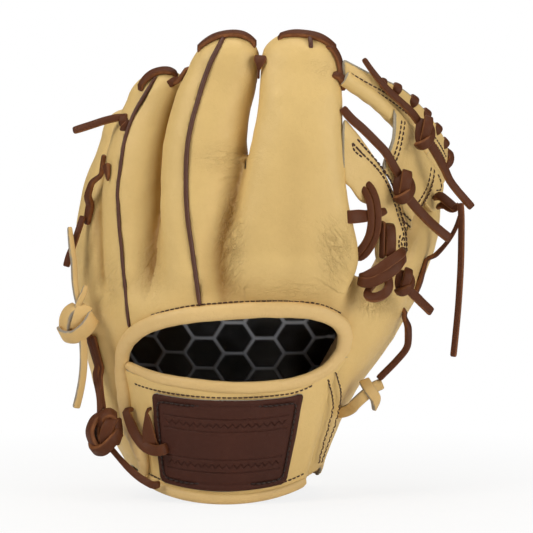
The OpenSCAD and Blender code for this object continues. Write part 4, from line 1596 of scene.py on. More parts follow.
@dataclass
class Lacer:
    """Lays laces: flat rawhide strips that follow the leather, bend over each other and end bare.

    A lace that dives takes two last steps, each so far ahead and so far under the leather.
    """

    form: GloveForm
    ahead: Tuple[float, float] = (1.6, 1.8)
    under: Tuple[float, float] = (1.6, 5.0)

    def cling(self, points: Array, lift: Array, reach: float) -> Array:
        """Points drawn to the leather where they are near it and pushed out where they are in it.

        Args:
            points: The points.
            lift: How far off the leather each should be.
            reach: How near the leather has to be to draw them.

        Returns:
            The new points.
        """
        out = np.array(points, float)
        for _ in range(8):
            d = self.form.off(out)
            share = np.clip(1 - (d - lift) / reach, 0, 1)
            out += self.form.outward(out) * ((lift - d) * share * 0.8)[:, None]
        return relaxed(out, 2)

    def strip(self, rows: Rows, facing: Optional[Rows] = None, dive: Tuple[bool, bool] = (False, False),
              reach: float = 5.0, extra: float = 0.2, gap: float = 1.6) -> Skin:
        """One length of lace.

        Args:
            rows: Points with width and thickness, the last two kept from the row before where left out.
            facing: The way its flat side looks, at points spread evenly along it. Where left out it is drawn to
                the leather and looks the leather's way.
            dive: Whether its start and its end go down through the leather.
            reach: How near the leather has to be to draw it.
            extra: How far its underside stays off the leather.
            gap: Space between the points that the strip is swept through.

        Returns:
            The skin, with its centreline.
        """
        table = ragged(rows, 5)
        fine = evenly(finer(table, len(table) * 14), gap)
        points = fine[:, :3]
        if facing is None:
            points = self.cling(points, fine[:, 4] / 2 + extra, reach)
        slope = self.form.outward(points)
        share = np.clip(1 - (self.form.off(points) - 4) / 8, 0, 1)[:, None]
        out = unit(slope * share + np.array([0.0, -1.0, 0.15]) * (1 - share))
        if facing is not None:
            out = unit(finer(np.array(facing, float), len(points)))
        for _ in range(3):
            out[1:-1] = unit(out[:-2] + 2 * out[1:-1] + out[2:])
        for k, inner, into in ((0, 1, dive[0]), (-1, -2, dive[1])):
            if not into:
                continue
            step = unit(points[k] - points[inner])
            tail = points[k] + np.outer(self.ahead, step) - np.outer(self.under, slope[k])
            size, turned = np.tile(fine[k, 3:5], (2, 1)), np.tile(unit(out[k] + step * 1.2), (2, 1))
            pairs = ((tail, points), (np.concatenate([tail, size], 1), fine), (turned, out))
            points, fine, out = (np.concatenate([new[::-1], old] if k == 0 else [old, new]) for new, old in pairs)
        skin = sweep(np.concatenate([points, fine[:, 3:5]], 1), out)
        skin.line = points
        return skin

    def knot(self, centre: Sequence[float], bands: Sequence[Rows], size: float, wide: float, thick: float,
             roll: float = 0.0, out: Triple = (0, -1, 0), slim: float = 1.0) -> Skin:
        """A flat knot of one lace, as the bands of it that are seen.

        Args:
            centre: Its middle.
            bands: For each band its points: right, up and out of the knot's middle, and its width's share if given.
            size: 1 for a knot about 20 mm high.
            wide: The lace's width.
            thick: The lace's thickness.
            roll: How far it is turned, in degrees, seen from outside.
            out: The way it faces.
            slim: How narrow it is drawn together.

        Returns:
            The bands as one skin.
        """
        o = unit(np.array(out, float))
        right = unit(np.cross(np.array([0, 0, 1.0]), -o)) * -1
        up = np.cross(o, right)
        up = up if up[2] > 0 else -up
        a = math.radians(roll)
        skins = []
        for rows in bands:
            table = np.array([list(r) + [1.0] * (4 - len(r)) for r in rows], float)
            local = evenly(finer(table, 60), 1.0 / size)
            local[:, :3] *= size
            local[:, 0] *= slim
            x = local[:, 0] * math.cos(a) - local[:, 1] * math.sin(a)
            y = local[:, 0] * math.sin(a) + local[:, 1] * math.cos(a)
            points = np.array(centre) + np.outer(x, right) + np.outer(y, up) + np.outer(local[:, 2], o)
            face = unit(points - np.array(centre) + o * 5.5 * size)
            width = np.stack([local[:, 3] * wide, np.full(len(points), thick)], 1)
            skins.append(sweep(np.concatenate([points, width], 1), face))
        return Skin.join(skins)


SLIP_KNOT = (
    ((-1.6, 7.4, -2.0, 0.8), (-3.8, 3.4, -0.4, 0.9), (-4.0, -3.0, -0.4, 0.95), (-2.2, -7.8, -0.2, 0.9)),
    ((2.4, 4.6, -4.0, 0.9), (2.6, 7.4, -1.2, 1.0), (2.4, 7.6, 1.8, 1.1), (1.4, 4.0, 4.6, 1.16), (0.0, -1.6, 4.4, 1.05),
     (-1.0, -6.0, 1.2, 0.85)),
    ((4.6, 5.2, -2.4, 0.7), (5.6, 1.4, 0.8, 0.8), (5.0, -3.2, 2.8, 0.95), (1.6, -6.8, 4.6, 1.2), (-2.8, -8.8, 3.6, 1.2),
     (-5.6, -8.4, -0.8, 0.9)),
)
HEEL_KNOT = (
    ((-1.6, 11.4, -0.6, 0.8), (-5.4, 8.0, 2.0), (-7.8, 0.6, 3.0, 1.1), (-5.0, -7.4, 2.0), (0.6, -9.6, 0.0)),
    ((-0.6, 3.0, 0.0, 0.9), (-0.4, 9.4, 2.6, 0.9), (4.4, 12.6, 1.6), (7.6, 9.6, -1.8)),
    ((2.4, 9.0, -1.6, 1.3), (0.6, 0.0, -1.0, 1.5), (0.0, -8.0, -1.2, 1.2)),
    ((7.6, 9.0, -2.0, 0.9), (8.2, 0.0, -1.4, 1.0), (6.0, -7.0, -1.2, 0.9)),
    ((-3.0, 8.0, -0.6, 0.8), (-4.6, 0.0, -0.4, 1.0), (-3.4, -7.0, -0.4, 0.9)),
    ((6.6, 10.0, -0.6), (4.8, 5.6, 3.2), (2.6, -0.6, 3.8, 1.1), (2.2, -6.6, 1.8)),
    ((-8.4, -6.6, -1.2), (-5.6, -10.0, 2.6), (0.8, -9.6, 5.0, 1.1), (6.8, -4.4, 4.0), (9.6, 1.0, -1.6)),
)
WRAPPED_KNOT = (
    ((0.4, 7.0, -1.6, 1.1), (0.0, 0.0, -1.2, 1.2), (0.4, -6.0, -1.2, 1.1)),
    ((1.6, 9.8, -1.4), (-3.0, 7.4, 1.6), (-6.4, 2.0, 2.4), (-8.2, -5.4, 0.6)),
    ((7.6, 9.4, -1.6), (5.4, 5.4, 1.8), (2.6, -0.4, 2.6), (0.0, -5.0, 1.4)),
    ((-11.4, -4.4, -1.6), (-8.4, -7.6, 2.2), (-1.0, -9.0, 4.6), (6.6, -5.4, 4.4), (10.4, -1.0, 1.6), (11.2, 1.6, -1.8)),
)


@dataclass(frozen=True)
class Plate:
    """One leather plate of the web: its outline and seams as x and z, and how it lies on the web's sheet.

    `raw` is how much of its cut edge shows on the fingers' side.
    """

    name: str
    node: str
    lift: float
    thick: float
    raw: float
    outline: Route
    seams: Sequence[Route]


POST = Plate(
    "web_post_plate", "web_post", 3.6, 3.4, 2.4,
    ((86.4, 238.5), (89, 238), (93, 234), (98.6, 226.5), (103, 218.5), (108, 212), (113, 206), (114, 199), (110, 190),
     (105.5, 182), (100, 174), (98, 165), (94.4, 173), (91, 183), (86.4, 193), (80.4, 202), (80, 207), (82.6, 213),
     (85.2, 220.5), (86, 229)),
    (((91.4, 232.4), (90, 222.4), (87.6, 212.8), (84.2, 205.6)), ((93.5, 232), (92.1, 221.8), (89.8, 212),
                                                                  (86.6, 204.4)),
     ((111.6, 204.4), (110.4, 197), (108.4, 191), (103, 182.4)), ((114, 203), (112.8, 195), (110.2, 188), (105, 180)),
     ((93, 176), (98.4, 171)), ((92.6, 172), (98, 167))))
BASE = Plate(
    "web_base_plate", "web_base", 2.6, 4.0, 1.8,
    ((55.5, 230.5), (62, 226.5), (70, 216.5), (79.5, 203), (84, 195), (89, 183.5), (93.5, 168.5), (96, 151.5),
     (94, 144), (85.5, 142.5), (77, 146.5), (75.5, 157.5), (78, 171), (73, 180), (66, 183.5), (60.5, 191), (55.5, 199)),
    (((61, 218.4), (68, 211), (76.3, 203.1), (82, 195), (86, 186), (90, 174), (93.3, 163.5), (94.8, 149)),
     ((64, 220.6), (71, 213), (78.6, 204.6), (84.2, 196.6), (88.2, 187), (92, 175), (94.8, 164.5), (95.8, 152)),
     ((61, 218.4), (62.4, 213.6), (67.2, 209.6)), ((64.4, 214.8), (69.4, 209.6)),
     ((93.4, 162), (92, 158), (93.6, 154), (92.4, 149)), ((91.4, 163), (90.4, 158), (91.4, 152)),
     ((80, 201.6), (84.2, 197.2)), ((82, 203.2), (86, 199))))
TAB = Plate(
    "side_tab_plate", "web_side_tab", 1.5, 3.2, 1.0,
    ((113.5, 204.5), (118, 201.5), (121, 194), (120, 186.5), (118, 180), (113.5, 176.5), (108.5, 180), (107.5, 184),
     (110.5, 190), (113.5, 197)),
    (((116.4, 200), (118.6, 195), (118.6, 190.4), (115.4, 189.8)),))


@dataclass
class Web:
    """The single-post web: a rolled and whip-laced top bar, a post and a base, with a side tab."""

    form: GloveForm
    lacer: Lacer
    bar_top: Sequence[Triple] = (
        (57, -38, 266), (75, -31, 257), (92, -16, 250), (107, 6, 238), (119, 30, 224), (125, 52, 211))
    bar_foot: Sequence[Triple] = (
        (57, -36, 254), (74, -29, 242), (89, -15, 228), (103, 5, 216), (114, 25, 204), (121, 46, 195))
    def __post_init__(self) -> None:
        """Fits the smooth sheet that the post and the base lie in."""
        known = np.array([
            (60, -37, 229), (67, -33, 214), (77, -27, 200), (86, -18, 186), (92, -10, 168), (93, -6, 150),
            (60, -36, 208), (67, -33, 196), (73, -28, 183), (78, -22, 170), (82, -16, 157), (84, -11, 145),
            (91, -12, 236), (89, -12, 222), (87, -14, 204), (102, 2, 222), (108, 8, 206), (100, -4, 178),
            (118, 24, 200), (119, 26, 186)], float)
        x, y, z = known.T
        self.fit = np.linalg.lstsq(self._terms(x, z), y, rcond=None)[0]

    @staticmethod
    def _terms(x: Array, z: Array) -> Array:
        """The curve's terms at each point."""
        a, b = (x - 90) / 40, (z - 190) / 40
        return np.stack([np.ones_like(a), a, b, a * a, a * b, b * b], -1)

    def depth(self, x: Array, z: Array) -> Array:
        """How far back the web's sheet lies at x and z."""
        return self._terms(np.asarray(x, float), np.asarray(z, float)) @ self.fit

    def facing(self, x: Array, z: Array) -> Array:
        """The way the web's sheet faces, towards the glove's back.

        Args:
            x: Across the glove.
            z: Height.

        Returns:
            The direction at each point.
        """
        x, z = np.asarray(x, float), np.asarray(z, float)
        dx = (self.depth(x + 1, z) - self.depth(x - 1, z)) / 2
        dz = (self.depth(x, z + 1) - self.depth(x, z - 1)) / 2
        return unit(np.stack([dx, -np.ones_like(dx), dz], -1))

    def lie(self, x: Array, z: Array, plate: Plate) -> Array:
        """How far back the middle of a plate lies at x and z."""
        return self.depth(x, z) - self.raised(z, plate.lift)

    @staticmethod
    def raised(z: Array, lift: float) -> Array:
        """How far in front of the sheet a plate lies: one that is lifted at all comes further forward over the bar."""
        share = np.clip((z - 200) / 32, 0, 1)
        return lift + (8.5 * share * share * (3 - 2 * share) if lift > 3 else 0.0)

    def plate(self, plate: Plate) -> None:
        """Cuts one plate of the web.

        Args:
            plate: Its outline and how it lies.
        """
        edge = closed_curve(plate.outline, 4)
        low, high = edge.min(0) - 3, edge.max(0) + 3
        ys = self.lie(edge[:, 0], edge[:, 1], plate)
        block = Block((low[0], ys.min() - 8, low[1]), (high[0], ys.max() + 8, high[1]), 0.8)
        gx, gz = np.meshgrid(block.axes[0], block.axes[2], indexing="ij")
        flat = outline_distance(gx.astype(float), gz.astype(float), edge)
        sheet = self.lie(gx, gz, plate) + 0.35 * np.sin(gx * 0.35) * np.sin(gz * 0.28 + gx * 0.1)
        tilt = 1 / np.abs(self.facing(gx, gz)[..., 1])
        near = (np.abs(block.y - sheet[:, None, :]) / tilt[:, None, :]) - plate.thick / 2
        skin = block.skin(soft_max(near, np.broadcast_to(flat[:, None, :], near.shape), 1.6))
        x, y, z = skin.points.T
        far = outline_distance(x, z, edge)
        side = y - self.lie(x, z, plate)
        lean = outline_distance(x + 0.5, z, edge) - far
        skin.marks["rim"] = np.clip((far + np.where((lean < -0.2) & (z > 203), plate.raw, 0.3)) / 0.7, 0, 1)
        skin.marks["suede"] = np.clip((side - 0.6) / 0.4, 0, 1) * (skin.marks["rim"] < 0.4)
        Bench.piece(plate.name, skin, BLONDE, Body.FOLD, plate.node)

    def seam(self, route: Route, plate: Plate) -> Skin:
        """A row of stitches on the front of a plate.

        Args:
            route: Where it runs, as x and z.
            plate: The plate.

        Returns:
            The stitches.
        """
        flat = evenly(finer(np.array([(x, 0.0, z) for x, z in route]), 60), 0.8)
        x, z = flat[:, 0], flat[:, 2]
        face = self.facing(x, z)
        y = self.depth(x, z) - (self.raised(z, plate.lift) + plate.thick / 2 / np.abs(face[:, 1]))
        return stitched(np.stack([x, y, z], 1), face, stitch=2.6, gap=0.7, thread=1.1)

    def plates(self) -> None:
        """The base, the post in front of it and the side tab, with their stitches."""
        for plate in (BASE, POST, TAB):
            self.plate(plate)
        rows = [self.seam(route, plate) for plate in (POST, BASE, TAB) for route in plate.seams]
        Bench.piece("web_stitches", Skin.join(rows), BROWN_THREAD, Body.FOLD)

    def bar(self) -> None:
        """The top bar: a flap with two rows of stitches, its rolled lower tube and the whip lace over its top."""
        count = 90
        top, foot = finer(np.array(self.bar_top, float), count), finer(np.array(self.bar_foot, float), count)
        along = unit(np.gradient(top, axis=0))
        down = unit(foot - top)
        face = unit(np.cross(along, down))
        if face[count // 2, 1] > 0:
            face = -face
        share = np.linspace(0, 1, 14)[None, :, None]
        middle = top[:, None] * (1 - share) + foot[:, None] * share
        thick, crown = 1.9, 0.8
        waves = 0.25 * np.sin(np.arange(count) * 0.42)[:, None, None] * np.sin(share * 7)
        swell = crown * np.sin(math.pi * share) + waves
        outer = middle + face[:, None] * (thick + swell)
        inner = middle - face[:, None] * thick
        Bench.piece("web_bar_flap", slab(outer, inner), BLONDE, Body.FOLD, "web_top_bar")
        rows = []
        for s in (0.36, 0.50):
            line = (top * (1 - s) + foot * s) + face * (thick + crown * math.sin(math.pi * s) + 0.1)
            dense = evenly(np.concatenate([line, face], 1)[3:-10], 0.8)
            rows.append(stitched(dense[:, :3], unit(dense[:, 3:]), 2.5, 0.9, 0.9))
        Bench.piece("bar_stitches", Skin.join(rows), BROWN_THREAD, Body.FOLD)
        t = np.linspace(-0.12, 3.25, 60)
        past = np.minimum(t, 0)[:, None] * np.array([14.0, 4.0, -8.0])
        roll = row_at(np.array(self.bar_foot, float), np.clip(t, 0, 5)) + past
        out = np.stack([np.interp(t, np.linspace(0, 5, count), face[:, k]) for k in range(3)], 1)
        roll = roll + out * 2.6 + np.array([0.0, 0.0, 2.4])
        size = np.tile([9.6, 8.4], (60, 1)) * (1 + 0.03 * np.sin(np.arange(60) * 0.9))[:, None]
        skin = sweep(np.concatenate([roll, size], 1), out, sides=22, square=2.0, end=0.1)
        run = skin.marks["along"]
        skin.marks["rim"] = ((run < 0.01) | (run > run.max() - 0.01)).astype(float)
        Bench.piece("web_bar_roll", skin, BLONDE, Body.FOLD, "web_roll")
        self.whip(top, face, along, count)

    def whip(self, top: Array, face: Array, along: Array, count: int) -> None:
        """The lace wound over the bar's top edge: a raised turn at each hole, and the last turn running into the flap.

        Args:
            top: The bar's top edge.
            face: The way the bar faces at each of its points.
            along: The way the edge runs there.
            count: How many points it has.
        """
        turns = []
        for at, size in ((1.28, 0.7), (1.78, 0.92), (2.46, 1), (3.06, 1), (3.68, 1), (4.28, 1), (4.76, 0.96)):
            k = at / 5 * (count - 1)
            centre, out, way = (np.array([np.interp(k, np.arange(count), column) for column in q.T])
                                for q in (top, face, along))
            out = unit(out * 0.45 + np.array([0, -1.0, 0]))
            way = unit(way - out * (way @ out))
            rise = np.cross(way, out)
            rise = rise if rise[2] > 0 else -rise
            a = np.radians(np.linspace(-98, 214, 30))
            ring = centre + np.outer(3.3 * np.cos(a), out) + np.outer(-1.2 + 2.6 * size * np.sin(a), rise)
            turned = unit(np.outer(np.cos(a), out) + np.outer(np.sin(a), rise))
            width = size * np.interp(np.degrees(a), [-98, -60, -10, 30, 90, 214], [3.0, 4.4, 6.2, 6.2, 5.0, 4.4])
            turns.append(sweep(np.concatenate([ring, np.stack([width, np.full(30, 4.0)], 1)], 1), turned))
        centre = np.array([np.interp(4.9 / 5 * (count - 1), np.arange(count), column) for column in top.T])
        last = [centre + np.array(d) for d in ((1.5, -2.0, 3.0), (2.2, -5.0, -1.0), (0.8, -7.0, -5.0),
                                               (-3.0, -7.0, -8.0), (-5.5, -4.0, -9.5))]
        facing = [(0.8, -0.6, 0), (0.5, -0.85, 0), (0.2, -0.95, 0.2)]
        turns.append(self.lacer.strip([[*p, 4.6, 3.4] for p in last], facing))
        Bench.piece("whip_lacing", Skin.join(turns), BROWN_LACE, Body.FOLD, "web_whip_lace")


@dataclass
class Lacing:
    """All the laces of the glove, its knots and its free tails."""

    lacer: Lacer

    def tips(self) -> None:
        """The lace that runs through the four fingertips, and its free tail."""
        bits = [self.lacer.strip(rows, dive=(True, True), reach=9.0) for rows in (
            [[-64, -8, 251.5, 4, 2.6], [-60.5, -9, 259, 5.6, 3], [-55, -10, 264], [-49, -12, 266],
             [-44, -13, 265, 4, 2.6]],
            [[-28.5, -27, 274.5, 4, 2.6], [-22, -29, 281, 5.6, 3], [-15, -30, 284], [-9, -30, 285], [-3, -30, 283.5],
             [2.5, -29, 279, 4, 2.6]],
            [[19, -34, 283, 4, 2.6], [26, -35, 285.5, 5.6, 3], [34, -36, 285], [42, -36, 281.5],
             [49, -35, 275, 4.5, 2.8]],
            [[49, -37, 275, 4.4, 2.8], [53.5, -38, 270.5], [56.5, -38, 265], [57, -38, 259]],
            [[53, -40, 257.5, 4.6, 4.2], [57, -40, 256], [61.5, -38, 254, 5]],
            [[-47, -14, 255.5, 4.8, 3], [-43, -18, 259, 5], [-39, -19, 263, 3, 2.5]])]
        bits.append(self.lacer.strip([[6.4, -32.5, 269.6, 7.4, 3.4], [6.1, -36.5, 267.6, 7.2, 3.6],
                                      [5.8, -37, 264.6, 4.0, 3.2], [5.4, -35.5, 261.6, 1.6, 2.4],
                                      [5.2, -32, 257, 1.6, 2.0]], facing=[(0, -0.6, 0.8), (0, -1, 0.1), (0, -1, 0)]))
        Bench.piece("fingertip_lacing", Skin.join(bits), BROWN_LACE, Body.FINGERS, "tip_lace")
        stub = self.lacer.strip([[36, -37, 283, 2.6, 2.2], [36.2, -38.5, 280], [36.4, -39.5, 277.5]], dive=(True, True))
        Bench.piece("index_welt_stub", stub, WELT, Body.FINGERS)
        knot = self.lacer.knot((-76.6, -9, 231.5), SLIP_KNOT, 0.5, 4.0, 2.2, 22, (-0.3, -0.94, 0.15))
        rows = [[-75, -7, 233.5, 4.6, 3], [-80, -9, 234.2], [-88, -10, 232.5], [-97, -10, 229.6], [-104, -9.5, 227.4],
                [-108, -9, 226.2, 4.2]]
        self.tail("fingertip_tail", rows, [(-0.2, -0.95, 0.3), (-0.1, -0.95, 0.25), (0, -0.9, 0.4)],
                  "tip_lace_tail", Body.FINGERS)
        Bench.piece("fingertip_tail_knot", knot, BROWN_LACE, Body.FINGERS)

    def tail(self, name: str, rows: Rows, facing: Sequence[Triple], node: str, body: Body,
             finish: LaceFinish = BROWN_LACE) -> None:
        """A free end of a lace.

        Args:
            name: The piece's name.
            rows: Its points, from where it leaves the glove.
            facing: The way its flat side looks, spread evenly along it.
            node: The frame's node it stands for.
            body: What it moves with.
            finish: Its finish.
        """
        skin = self.lacer.strip(rows, facing, gap=1.3)
        piece = Bench.piece(name, skin, finish, body, node)

    def web_laces(self) -> None:
        """The two diagonal laces across the web, with their knots and tails."""
        for name, node, lead, face, knot, tail in (
            ("upper_web_lacing", "upper_web_lace",
             [[67.9, -40, 268.3, 3.2, 3], [72.7, -38, 261.6, 3.4], [78.9, -35, 254.1, 3.8], [85.1, -31, 247.8, 4.2],
              [91.9, -27, 242.1], [97.7, -23, 236.8, 4.8], [102.6, -19, 230.7]],
             [(-0.2, -0.9, 0.4), (0, -0.95, 0.35), (0.2, -0.95, 0.3)], ((105.4, -21.5, 225.4), 1.04, 4.9, -4, 0.74),
             [[105.3, -22, 221.1, 5, 3], [108.6, -20.5, 218.7, 5.2], [113.3, -16, 211.7], [117.9, -12, 204.1],
              [121.8, -9, 196.2, 4.8], [126.3, -7, 190.2], [131.2, -6, 184.6], [136, -6, 179.2]]),
            ("lower_web_lacing", "lower_web_lace",
             [[55.1, -42, 238.9, 5, 3.2], [60.6, -41, 232.6, 5.2], [67.3, -39, 226.8], [74.6, -36, 219.8],
              [81.4, -32, 212.8], [85.8, -29, 205.7], [90.8, -25, 197.5]],
             [(-0.1, -0.95, 0.35), (0, -0.95, 0.3), (0.3, -0.95, 0.15)], ((92.4, -27, 192.8), 1.0, 5.6, 0, 0.86),
             [[91.6, -28, 188.2, 5.4, 3], [95, -27, 185.8, 5.8, 3.2], [100.6, -24, 179.3], [107.6, -20, 172.1],
              [114.5, -16, 166], [121.6, -14, 160.4]]),
        ):
            start = self.lacer.strip(lead, face)
            end = self.lacer.strip(tail, facing=[(0.1, -0.97, -0.1), (0.45, -0.85, 0.2), (0.4, -0.9, 0.25)])
            tied = self.lacer.knot(knot[0], SLIP_KNOT, knot[1], knot[2], 3.0, knot[3], (0.15, -0.98, 0.08), knot[4])
            Bench.piece(name, Skin.join([start, tied, end]), BROWN_LACE, Body.FOLD, node)

    def crotch(self) -> None:
        """The doubled lace of the crotch, and the flat loop that crosses behind it."""
        rows = np.array([[66, -31, 195], [70.6, -34, 190.6], [73.6, -36, 183.6], [74.6, -37, 176], [74.5, -37, 169],
                         [73, -36, 161.6], [69.6, -35, 155.2], [66, -34, 151], [63, -33, 148]])
        fine = finer(rows, 60)
        side = unit(np.cross(np.gradient(fine, axis=0), np.array([0, -1.0, 0])))
        strands = []
        for shift, lift, thick in ((-2.1, 0.0, 4.4), (2.1, 0.8, 4.6)):
            wide = np.interp(np.arange(60), [0, 6, 50, 59], [3.4, 4.3, 4.2, 1.8])
            moved = np.concatenate([fine + side * shift * (wide / 4.3)[:, None] - np.array([0, lift, 0]),
                                    np.stack([wide, np.full(60, thick)], 1)], 1)
            facing = [(-0.15 * np.sign(shift), -1, 0.1), (0.12 * np.sign(shift), -1, 0)]
            strands.append(self.lacer.strip(moved[::4], facing, dive=(True, False)))
        Bench.piece("crotch_lacing", Skin.join(strands), BROWN_LACE, Body.FOLD, "crotch_lace")
        loop = [[55, -36, 173.6, 7, 3], [56, -42, 173.8, 8], [60, -43, 174], [65, -41, 174.4], [70, -37, 174.6, 7],
                [78, -33, 176.4, 5.4], [81.6, -29, 177.6, 4]]
        skin = self.lacer.strip(loop, facing=[(-0.95, -0.2, 0), (-0.2, -0.95, 0.1), (0.1, -0.97, 0.15),
                                              (0.35, -0.9, 0.2)])
        Bench.piece("crotch_loop_lace", skin, BROWN_LACE, Body.FOLD, "crotch_loop")

    def thumb_side(self) -> None:
        """The laces at the thumb's foot, over the web's base, and their tail."""
        bits = []
        for rows, face in (
            ([[80.2, -25, 170, 3.6, 3.4], [80, -31, 167], [79.8, -32, 158], [79.6, -31, 149]], [(-0.5, -0.8, 0),
                                                                                                (-0.4, -0.9, 0),
                                                                                                (-0.4, -0.9, 0)]),
            ([[84.2, -25, 169, 5, 3.2], [84.6, -31, 166.6, 6], [84.8, -32.5, 159, 6.2], [84.4, -31.5, 150]],
             [(0.1, -0.5, 0.9), (0.15, -1, 0.3), (0.25, -0.97, 0), (0.2, -0.97, 0)]),
            ([[92.6, -25, 153.6, 5, 3.2], [90, -33, 151.4, 6, 3.4], [83, -37.5, 146.6, 6.4], [75.6, -38, 141.6, 6.2],
              [69, -37, 138.4, 5.4, 3.2], [66.6, -33, 137.6]],
             [(0.6, -0.6, 0.4), (0.1, -0.95, 0.3), (0, -0.95, 0.3), (-0.2, -0.95, 0.2), (-0.8, -0.5, 0)]),
            ([[93.4, -23, 149, 5, 3.2], [90.8, -32, 147.6, 6, 3.6], [86.6, -36, 142.8, 6.4], [80, -38, 138.4, 6.6],
              [73.6, -39, 135.2, 6.2, 3.4], [68, -37, 134.8], [66, -32, 136]],
              [(0.7, -0.6, 0), (0.3, -0.95, 0), (0, -0.97, -0.1), (0, -0.97, -0.2), (-0.8, -0.5, 0)]),
            ([[82.4, -33, 140, 4.8, 3.2], [83.4, -36, 133, 5.2], [81, -38, 128.4, 5.8], [75.6, -38, 125.8, 6, 3],
              [71, -36, 126.6, 5.6], [71.4, -33, 130, 4.4, 2.6], [75, -31, 134]],
              [(0.5, -0.85, 0), (0.3, -0.9, -0.2), (0, -0.85, 0.5), (-0.3, -0.8, 0.5), (-0.2, -0.6, 0.7)]),
        ):
            bits.append(self.lacer.strip(rows, face))
        bits.append(self.lacer.knot((93.2, -25, 135.4), SLIP_KNOT, 0.8, 4.8, 3.0, -4, (0.2, -0.97, 0)))
        bits.append(self.lacer.strip([[95.5, -27, 130.4, 5.2, 3], [98.5, -25.5, 127.4, 5.4], [103.5, -21, 122.6, 5.6]], 
                                     facing=[(0.3, -0.95, -0.1), (0.45, -0.85, 0.1)]))
        Bench.piece("thumb_foot_lacing", Skin.join(bits), BROWN_LACE, Body.FOLD, "thumb_lace")
        rows = [[101, -23, 125, 5.5, 3], [104, -20.5, 122], [107.4, -17, 118.8], [110.6, -14.5, 115.6]]
        skin = self.lacer.strip(rows, facing=[(0.45, -0.85, 0.1), (0.4, -0.9, 0.2)])
        Bench.piece("thumb_foot_tail", skin, BROWN_LACE, Body.FOLD, "thumb_lace_tail")

    def thumb_edge(self) -> None:
        """The long tail that hangs beside the thumb, and the laces seen past the thumb's edge."""
        rows = [[128.6, -8, 182, 3.8, 3], [129, -9.5, 174], [129, -10, 162], [128.8, -10, 148], [128.2, -10, 134],
                [127.2, -9.5, 118], [125.8, -9, 102], [124.4, -8.5, 88]]
        self.tail("thumb_side_tail", rows, [(-0.4, -0.9, 0), (-0.5, -0.8, 0), (-0.35, -0.9, 0), (-0.5, -0.8, 0.05)],
                  "web_lace_tail", Body.FOLD)
        strips = []
        for rows, dive in (
            ([[129, -3, 175, 2.8, 2.6], [126.5, 0, 167], [122, 4, 158.5], [115, 9, 150], [108, 12, 143.5],
              [105.4, 13, 138.5, 3.4, 3], [105.6, 13, 132, 3.8, 3.4], [103, 14, 125, 3, 3]], (False, True)),
            ([[118, 6, 186, 5.4, 3.4], [122, 2, 182.5], [126.5, -2, 178.5, 5]], (True, False)),
            ([[120, 4, 180.5, 4.4, 3], [124.5, 0, 178], [128, -4, 181, 4]], (True, False)),
            ([[98.5, 6, 113, 4.4, 3], [97.6, 5, 106], [97.6, 4, 99], [96.6, 3, 92.5], [90, 2, 84.5], [83, 1, 77.5],
              [79, 1, 73.5]], (True, False)),
        ):
            strips.append(self.lacer.strip(rows, reach=4.0, dive=dive))
        Bench.piece("thumb_edge_laces", Skin.join(strips), BROWN_LACE, Body.THUMB)
        bands = []
        for rows, face in (
            ([[81, 6, 70, 7, 3.2], [76.5, 0, 68.5], [70, -3, 63.5], [65, 0, 58.5], [62.5, 5, 55], [58, 9, 52.5],
              [51, 15, 50.5, 6, 3]],
             [(0.5, -0.8, 0.3), (0.3, -0.95, 0), (-0.3, -0.9, -0.2), (-0.3, -0.9, -0.2)]),
            ([[70, 0, 73, 7, 3.2], [73, -4, 68], [77, -3, 62], [77.5, 3, 56]], [(0, -0.9, 0.4), (0.4, -0.9, 0),
                                                                                (0.8, -0.5, 0)]),
        ):
            bands.append(self.lacer.strip(rows, face))
        Bench.piece("right_adjusting_knot", Skin.join(bands), TAN_LACE, Body.FOLD, "right_adjusting_lace")

    def little_finger_side(self) -> None:
        """The laces, knots and tails down the little finger's edge, and the tan adjusting knot."""
        rows = [[-91.5, -3, 212, 3, 3], [-94, -2, 205, 3.4], [-96.6, -1, 197], [-99.4, 0, 188.5, 4, 3.4],
                [-101, 1, 182, 5, 4], [-101.4, 2, 175, 4.6], [-102.4, 2, 169, 3.6, 3]]
        side = self.lacer.strip(rows, reach=5.0)
        fold = self.lacer.strip([[-86.6, -8, 205.5, 5.6, 3.4], [-86.6, -9, 204, 5.2], [-86.2, -10, 200, 3.4, 3],
                                 [-85.6, -10, 195.5, 1.0, 2]], reach=12.0)
        Bench.piece("little_finger_lacing", Skin.join([side, fold]), BROWN_LACE, Body.FINGERS, "pinky_side_lace")
        rows = [[-103, 2, 174, 3.8, 2.6], [-105.5, 0, 166], [-108.4, -2, 157], [-111.2, -3, 149.5, 4.2],
                [-113, -3, 143]]
        self.tail("little_finger_tail", rows, [(-0.3, -0.95, 0), (-0.2, -0.97, 0), (-0.4, -0.9, 0)],
                  "pinky_side_tail", Body.FINGERS)
        bands = [self.lacer.knot((-106.6, -9, 109.4), WRAPPED_KNOT, 0.98, 9.6, 2.6, 9, (-0.2, -0.98, 0))]
        for rows, face in (
            ([[-104, -7, 117, 3.6, 3], [-106, -9, 125], [-107.4, -8, 134], [-108, -7, 145], [-109.4, -6.5, 156],
              [-110.6, -6, 167.5, 2.8, 2.6]],
             [(0.6, -0.8, 0), (0.5, -0.85, 0), (0.6, -0.8, 0), (0.4, -0.9, 0)]),
            ([[-107, -9, 113, 3.8, 2.6], [-105, -10.5, 120], [-101.5, -9.5, 127.5], [-100.6, -8.5, 131.5, 3]],
             [(0.3, -0.9, 0.3), (0.4, -0.9, 0.2)]),
        ):
            bands.append(self.lacer.strip(rows, face))
        Bench.piece("left_adjusting_knot", Skin.join(bands), TAN_LACE, Body.FINGERS, "left_adjusting_lace")
        rows = [[-103, -11, 104, 4.4, 3], [-102, -11.5, 96, 4.6], [-101.8, -11, 86], [-102.6, -10, 76],
                [-104.4, -9, 66], [-106.8, -8, 56.5]]
        facing = [(0.5, -0.9, 0), (0.4, -0.9, 0), (0.5, -0.85, 0), (0.5, -0.85, 0)]
